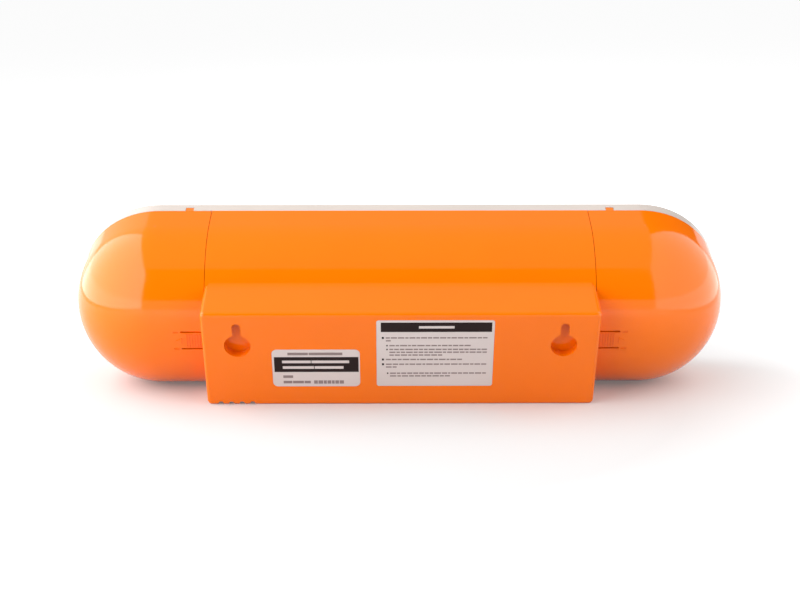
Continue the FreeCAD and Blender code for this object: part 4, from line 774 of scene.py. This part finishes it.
class CLOCK_OT_stage(bpy.types.Operator):
    """Sets the white paper bowl, the soft lamps and the camera at the photograph's viewing angle"""

    bl_idname = "clock.stage"
    bl_label = "Stage"

    def execute(self, context):
        paper_bowl(flat_radius=8.0, wall_radius=9.5, wall_height=1.6)
        world = bpy.data.worlds.new("studio_air")
        world.use_nodes = True
        air = world.node_tree.nodes["Background"]
        air.inputs["Color"].default_value = linear("#FFFFFF")
        air.inputs["Strength"].default_value = 0.03
        context.scene.world = world
        # The lit walls and roof of a photographer's light tent, brightest at the photograph's left.
        softbox("left_wall", (0.6, 0.38, 0.62), turn=90, size=(1.64, 1.2), brightness=3.0)
        softbox("left_far_wall", (0.6, -0.94, 0.62), turn=90, size=(1.0, 1.2), brightness=0.8)
        softbox("right_wall", (-0.46, 0.33, 0.62), turn=-90, size=(1.34, 1.2), brightness=1.35)
        softbox("back_wall", (0.0, -1.5, 0.8), turn=0, size=(1.6, 1.0), brightness=0.6)
        softbox("tent_roof", (0.07, -0.5, 1.22), turn=None, size=(1.06, 2.8), brightness=0.32)
        photo_camera()
        context.scene.view_settings.view_transform = "Standard"
        return {"FINISHED"}


def paper_bowl(flat_radius, wall_radius, wall_height, around=96, up=24):
    """A round white floor that curves up into a low wall, all round the clock.

    Along its profile the radius goes from nought to flat_radius at height nought, and then follows a
    quarter ellipse out to wall_radius and up to wall_height; the profile turns round the upright axis.
    """
    turn = np.linspace(0, math.pi / 2, up)
    curved = flat_radius + (wall_radius - flat_radius) * np.sin(turn)
    radius = np.concatenate(((1 * MM, flat_radius / 2), curved))
    height = np.concatenate(((0.0, 0.0), wall_height * (1 - np.cos(turn))))
    angle = np.linspace(0, math.tau, around, endpoint=False)
    rings = np.stack(
        (
            radius[:, None] * np.cos(angle),
            radius[:, None] * np.sin(angle),
            np.broadcast_to(height[:, None], (len(height), around)),
        ),
        -1,
    )
    points, faces = skin(rings)
    mesh = bpy.data.meshes.new("paper_bowl")
    mesh.from_pydata(points, [], [face[::-1] for face in faces[:-2]] + [faces[-2]])
    mesh.materials.append(seamless_paper())
    mesh.shade_smooth()
    bowl = bpy.data.objects.new("paper_bowl", mesh)
    bpy.context.scene.collection.objects.link(bowl)


def seamless_paper():
    """Seamless white paper: white to the camera and in reflections, and it still holds a soft shadow.

    The share of its own light grows with the distance from the clock, so the far paper never turns grey.
    Near the clock that glow is kept low as painted shade, on the paper and in its reflection in the clock.
    """
    material = bpy.data.materials.new("seamless_paper")
    material.use_nodes = True
    tree = material.node_tree
    tree.nodes.clear()
    paper = add_node(tree, "ShaderNodeBsdfDiffuse", {"Color": linear("#CFCFCF")})
    rays = add_node(tree, "ShaderNodeLightPath").outputs
    seen = rays["Is Camera Ray"]
    for ray in ("Is Glossy Ray", "Is Transmission Ray"):
        seen = add_node(tree, "ShaderNodeMath", {0: seen, 1: rays[ray]}, operation="MAXIMUM").outputs["Value"]
    place = add_node(tree, "ShaderNodeTexCoord").outputs["Object"]
    away = add_node(tree, "ShaderNodeVectorMath", {0: place}, operation="LENGTH").outputs["Value"]
    # Painted shade: the glow is weakest within 0.18 m of the clock, darkening the paper there and its
    # reflection in the clock's underside.
    growth = {"Value": away, "From Min": 0.18, "From Max": 0.55, "To Min": 0.12, "To Max": 0.95}
    glow_dimmed_near_clock = add_node(tree, "ShaderNodeMapRange", growth).outputs["Result"]
    own = add_node(tree, "ShaderNodeMath", {0: seen, 1: glow_dimmed_near_clock}, operation="MULTIPLY").outputs["Value"]
    glow = add_node(tree, "ShaderNodeEmission", {"Strength": own})
    both = add_node(tree, "ShaderNodeAddShader", {0: paper.outputs["BSDF"], 1: glow.outputs["Emission"]})
    add_node(tree, "ShaderNodeOutputMaterial", {"Surface": both.outputs["Shader"]})
    return material


def softbox(name, place, turn, size, brightness):
    """A rectangular lamp that stands upright, turned by turn degrees from facing rearward, or faces down.

    An area lamp spreads its watts over four times its area, so they are its brightness times that.
    """
    lamp = bpy.data.lights.new(name, "AREA")
    lamp.shape = "RECTANGLE"
    lamp.size, lamp.size_y = size
    lamp.energy = brightness * 4 * size[0] * size[1]
    made = bpy.data.objects.new(name, lamp)
    bpy.context.scene.collection.objects.link(made)
    made.location = place
    made.rotation_euler = (0, 0, 0) if turn is None else (math.pi / 2, 0, math.radians(turn))
    made.visible_camera = False


def photo_camera():
    """The camera: behind the clock, a little above it and looking down, as the photograph was taken."""
    lens = bpy.data.cameras.new("photo_camera")
    lens.sensor_width = 36
    lens.lens = 62.36
    camera = bpy.data.objects.new("photo_camera", lens)
    bpy.context.scene.collection.objects.link(camera)
    aside, behind, above = 0.0062, 0.8555, 0.2757
    camera.location = (aside, behind, above)
    downward, swing = math.radians(14.22), 0.0071
    camera.rotation_euler = (math.pi / 2 - downward, 0, math.pi - swing)
    bpy.context.scene.camera = camera


class CLOCK_PT_sidebar(bpy.types.Panel):
    """Lists the clock's steps, colours, sizes and legends"""

    bl_label = "Flip calendar clock"
    bl_idname = "CLOCK_PT_sidebar"
    bl_space_type = "VIEW_3D"
    bl_region_type = "UI"
    bl_category = "Clock"

    def draw(self, context):
        for step in STEPS:
            self.layout.operator(step.bl_idname)
        for group in (context.scene.clock_colours, context.scene.clock_sizes, context.scene.clock_legends):
            box = self.layout.box()
            for name in group.__annotations__:
                box.prop(group, name)


STEPS = (
    CLOCK_OT_case,
    CLOCK_OT_labels,
    CLOCK_OT_dial,
    CLOCK_OT_works,
    CLOCK_OT_power,
    CLOCK_OT_calendar,
    CLOCK_OT_stage,
)
GROUPS = {"clock_colours": ClockColours, "clock_sizes": ClockSizes, "clock_legends": ClockLegends}


def register():
    """Registers the classes and puts the property groups on the scene."""
    for made in (*GROUPS.values(), *STEPS, CLOCK_PT_sidebar):
        bpy.utils.register_class(made)
    for name, group in GROUPS.items():
        setattr(bpy.types.Scene, name, PointerProperty(type=group))


def unregister():
    """Takes the property groups and classes away again."""
    for name in GROUPS:
        delattr(bpy.types.Scene, name)
    for made in (CLOCK_PT_sidebar, *STEPS, *GROUPS.values()):
        bpy.utils.unregister_class(made)


def main():
    """Registers the add-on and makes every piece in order."""
    register()
    bpy.ops.clock.case()
    bpy.ops.clock.labels()
    bpy.ops.clock.dial()
    bpy.ops.clock.works()
    bpy.ops.clock.power()
    bpy.ops.clock.calendar()
    bpy.ops.clock.stage()


if __name__ == "__main__":
    main()
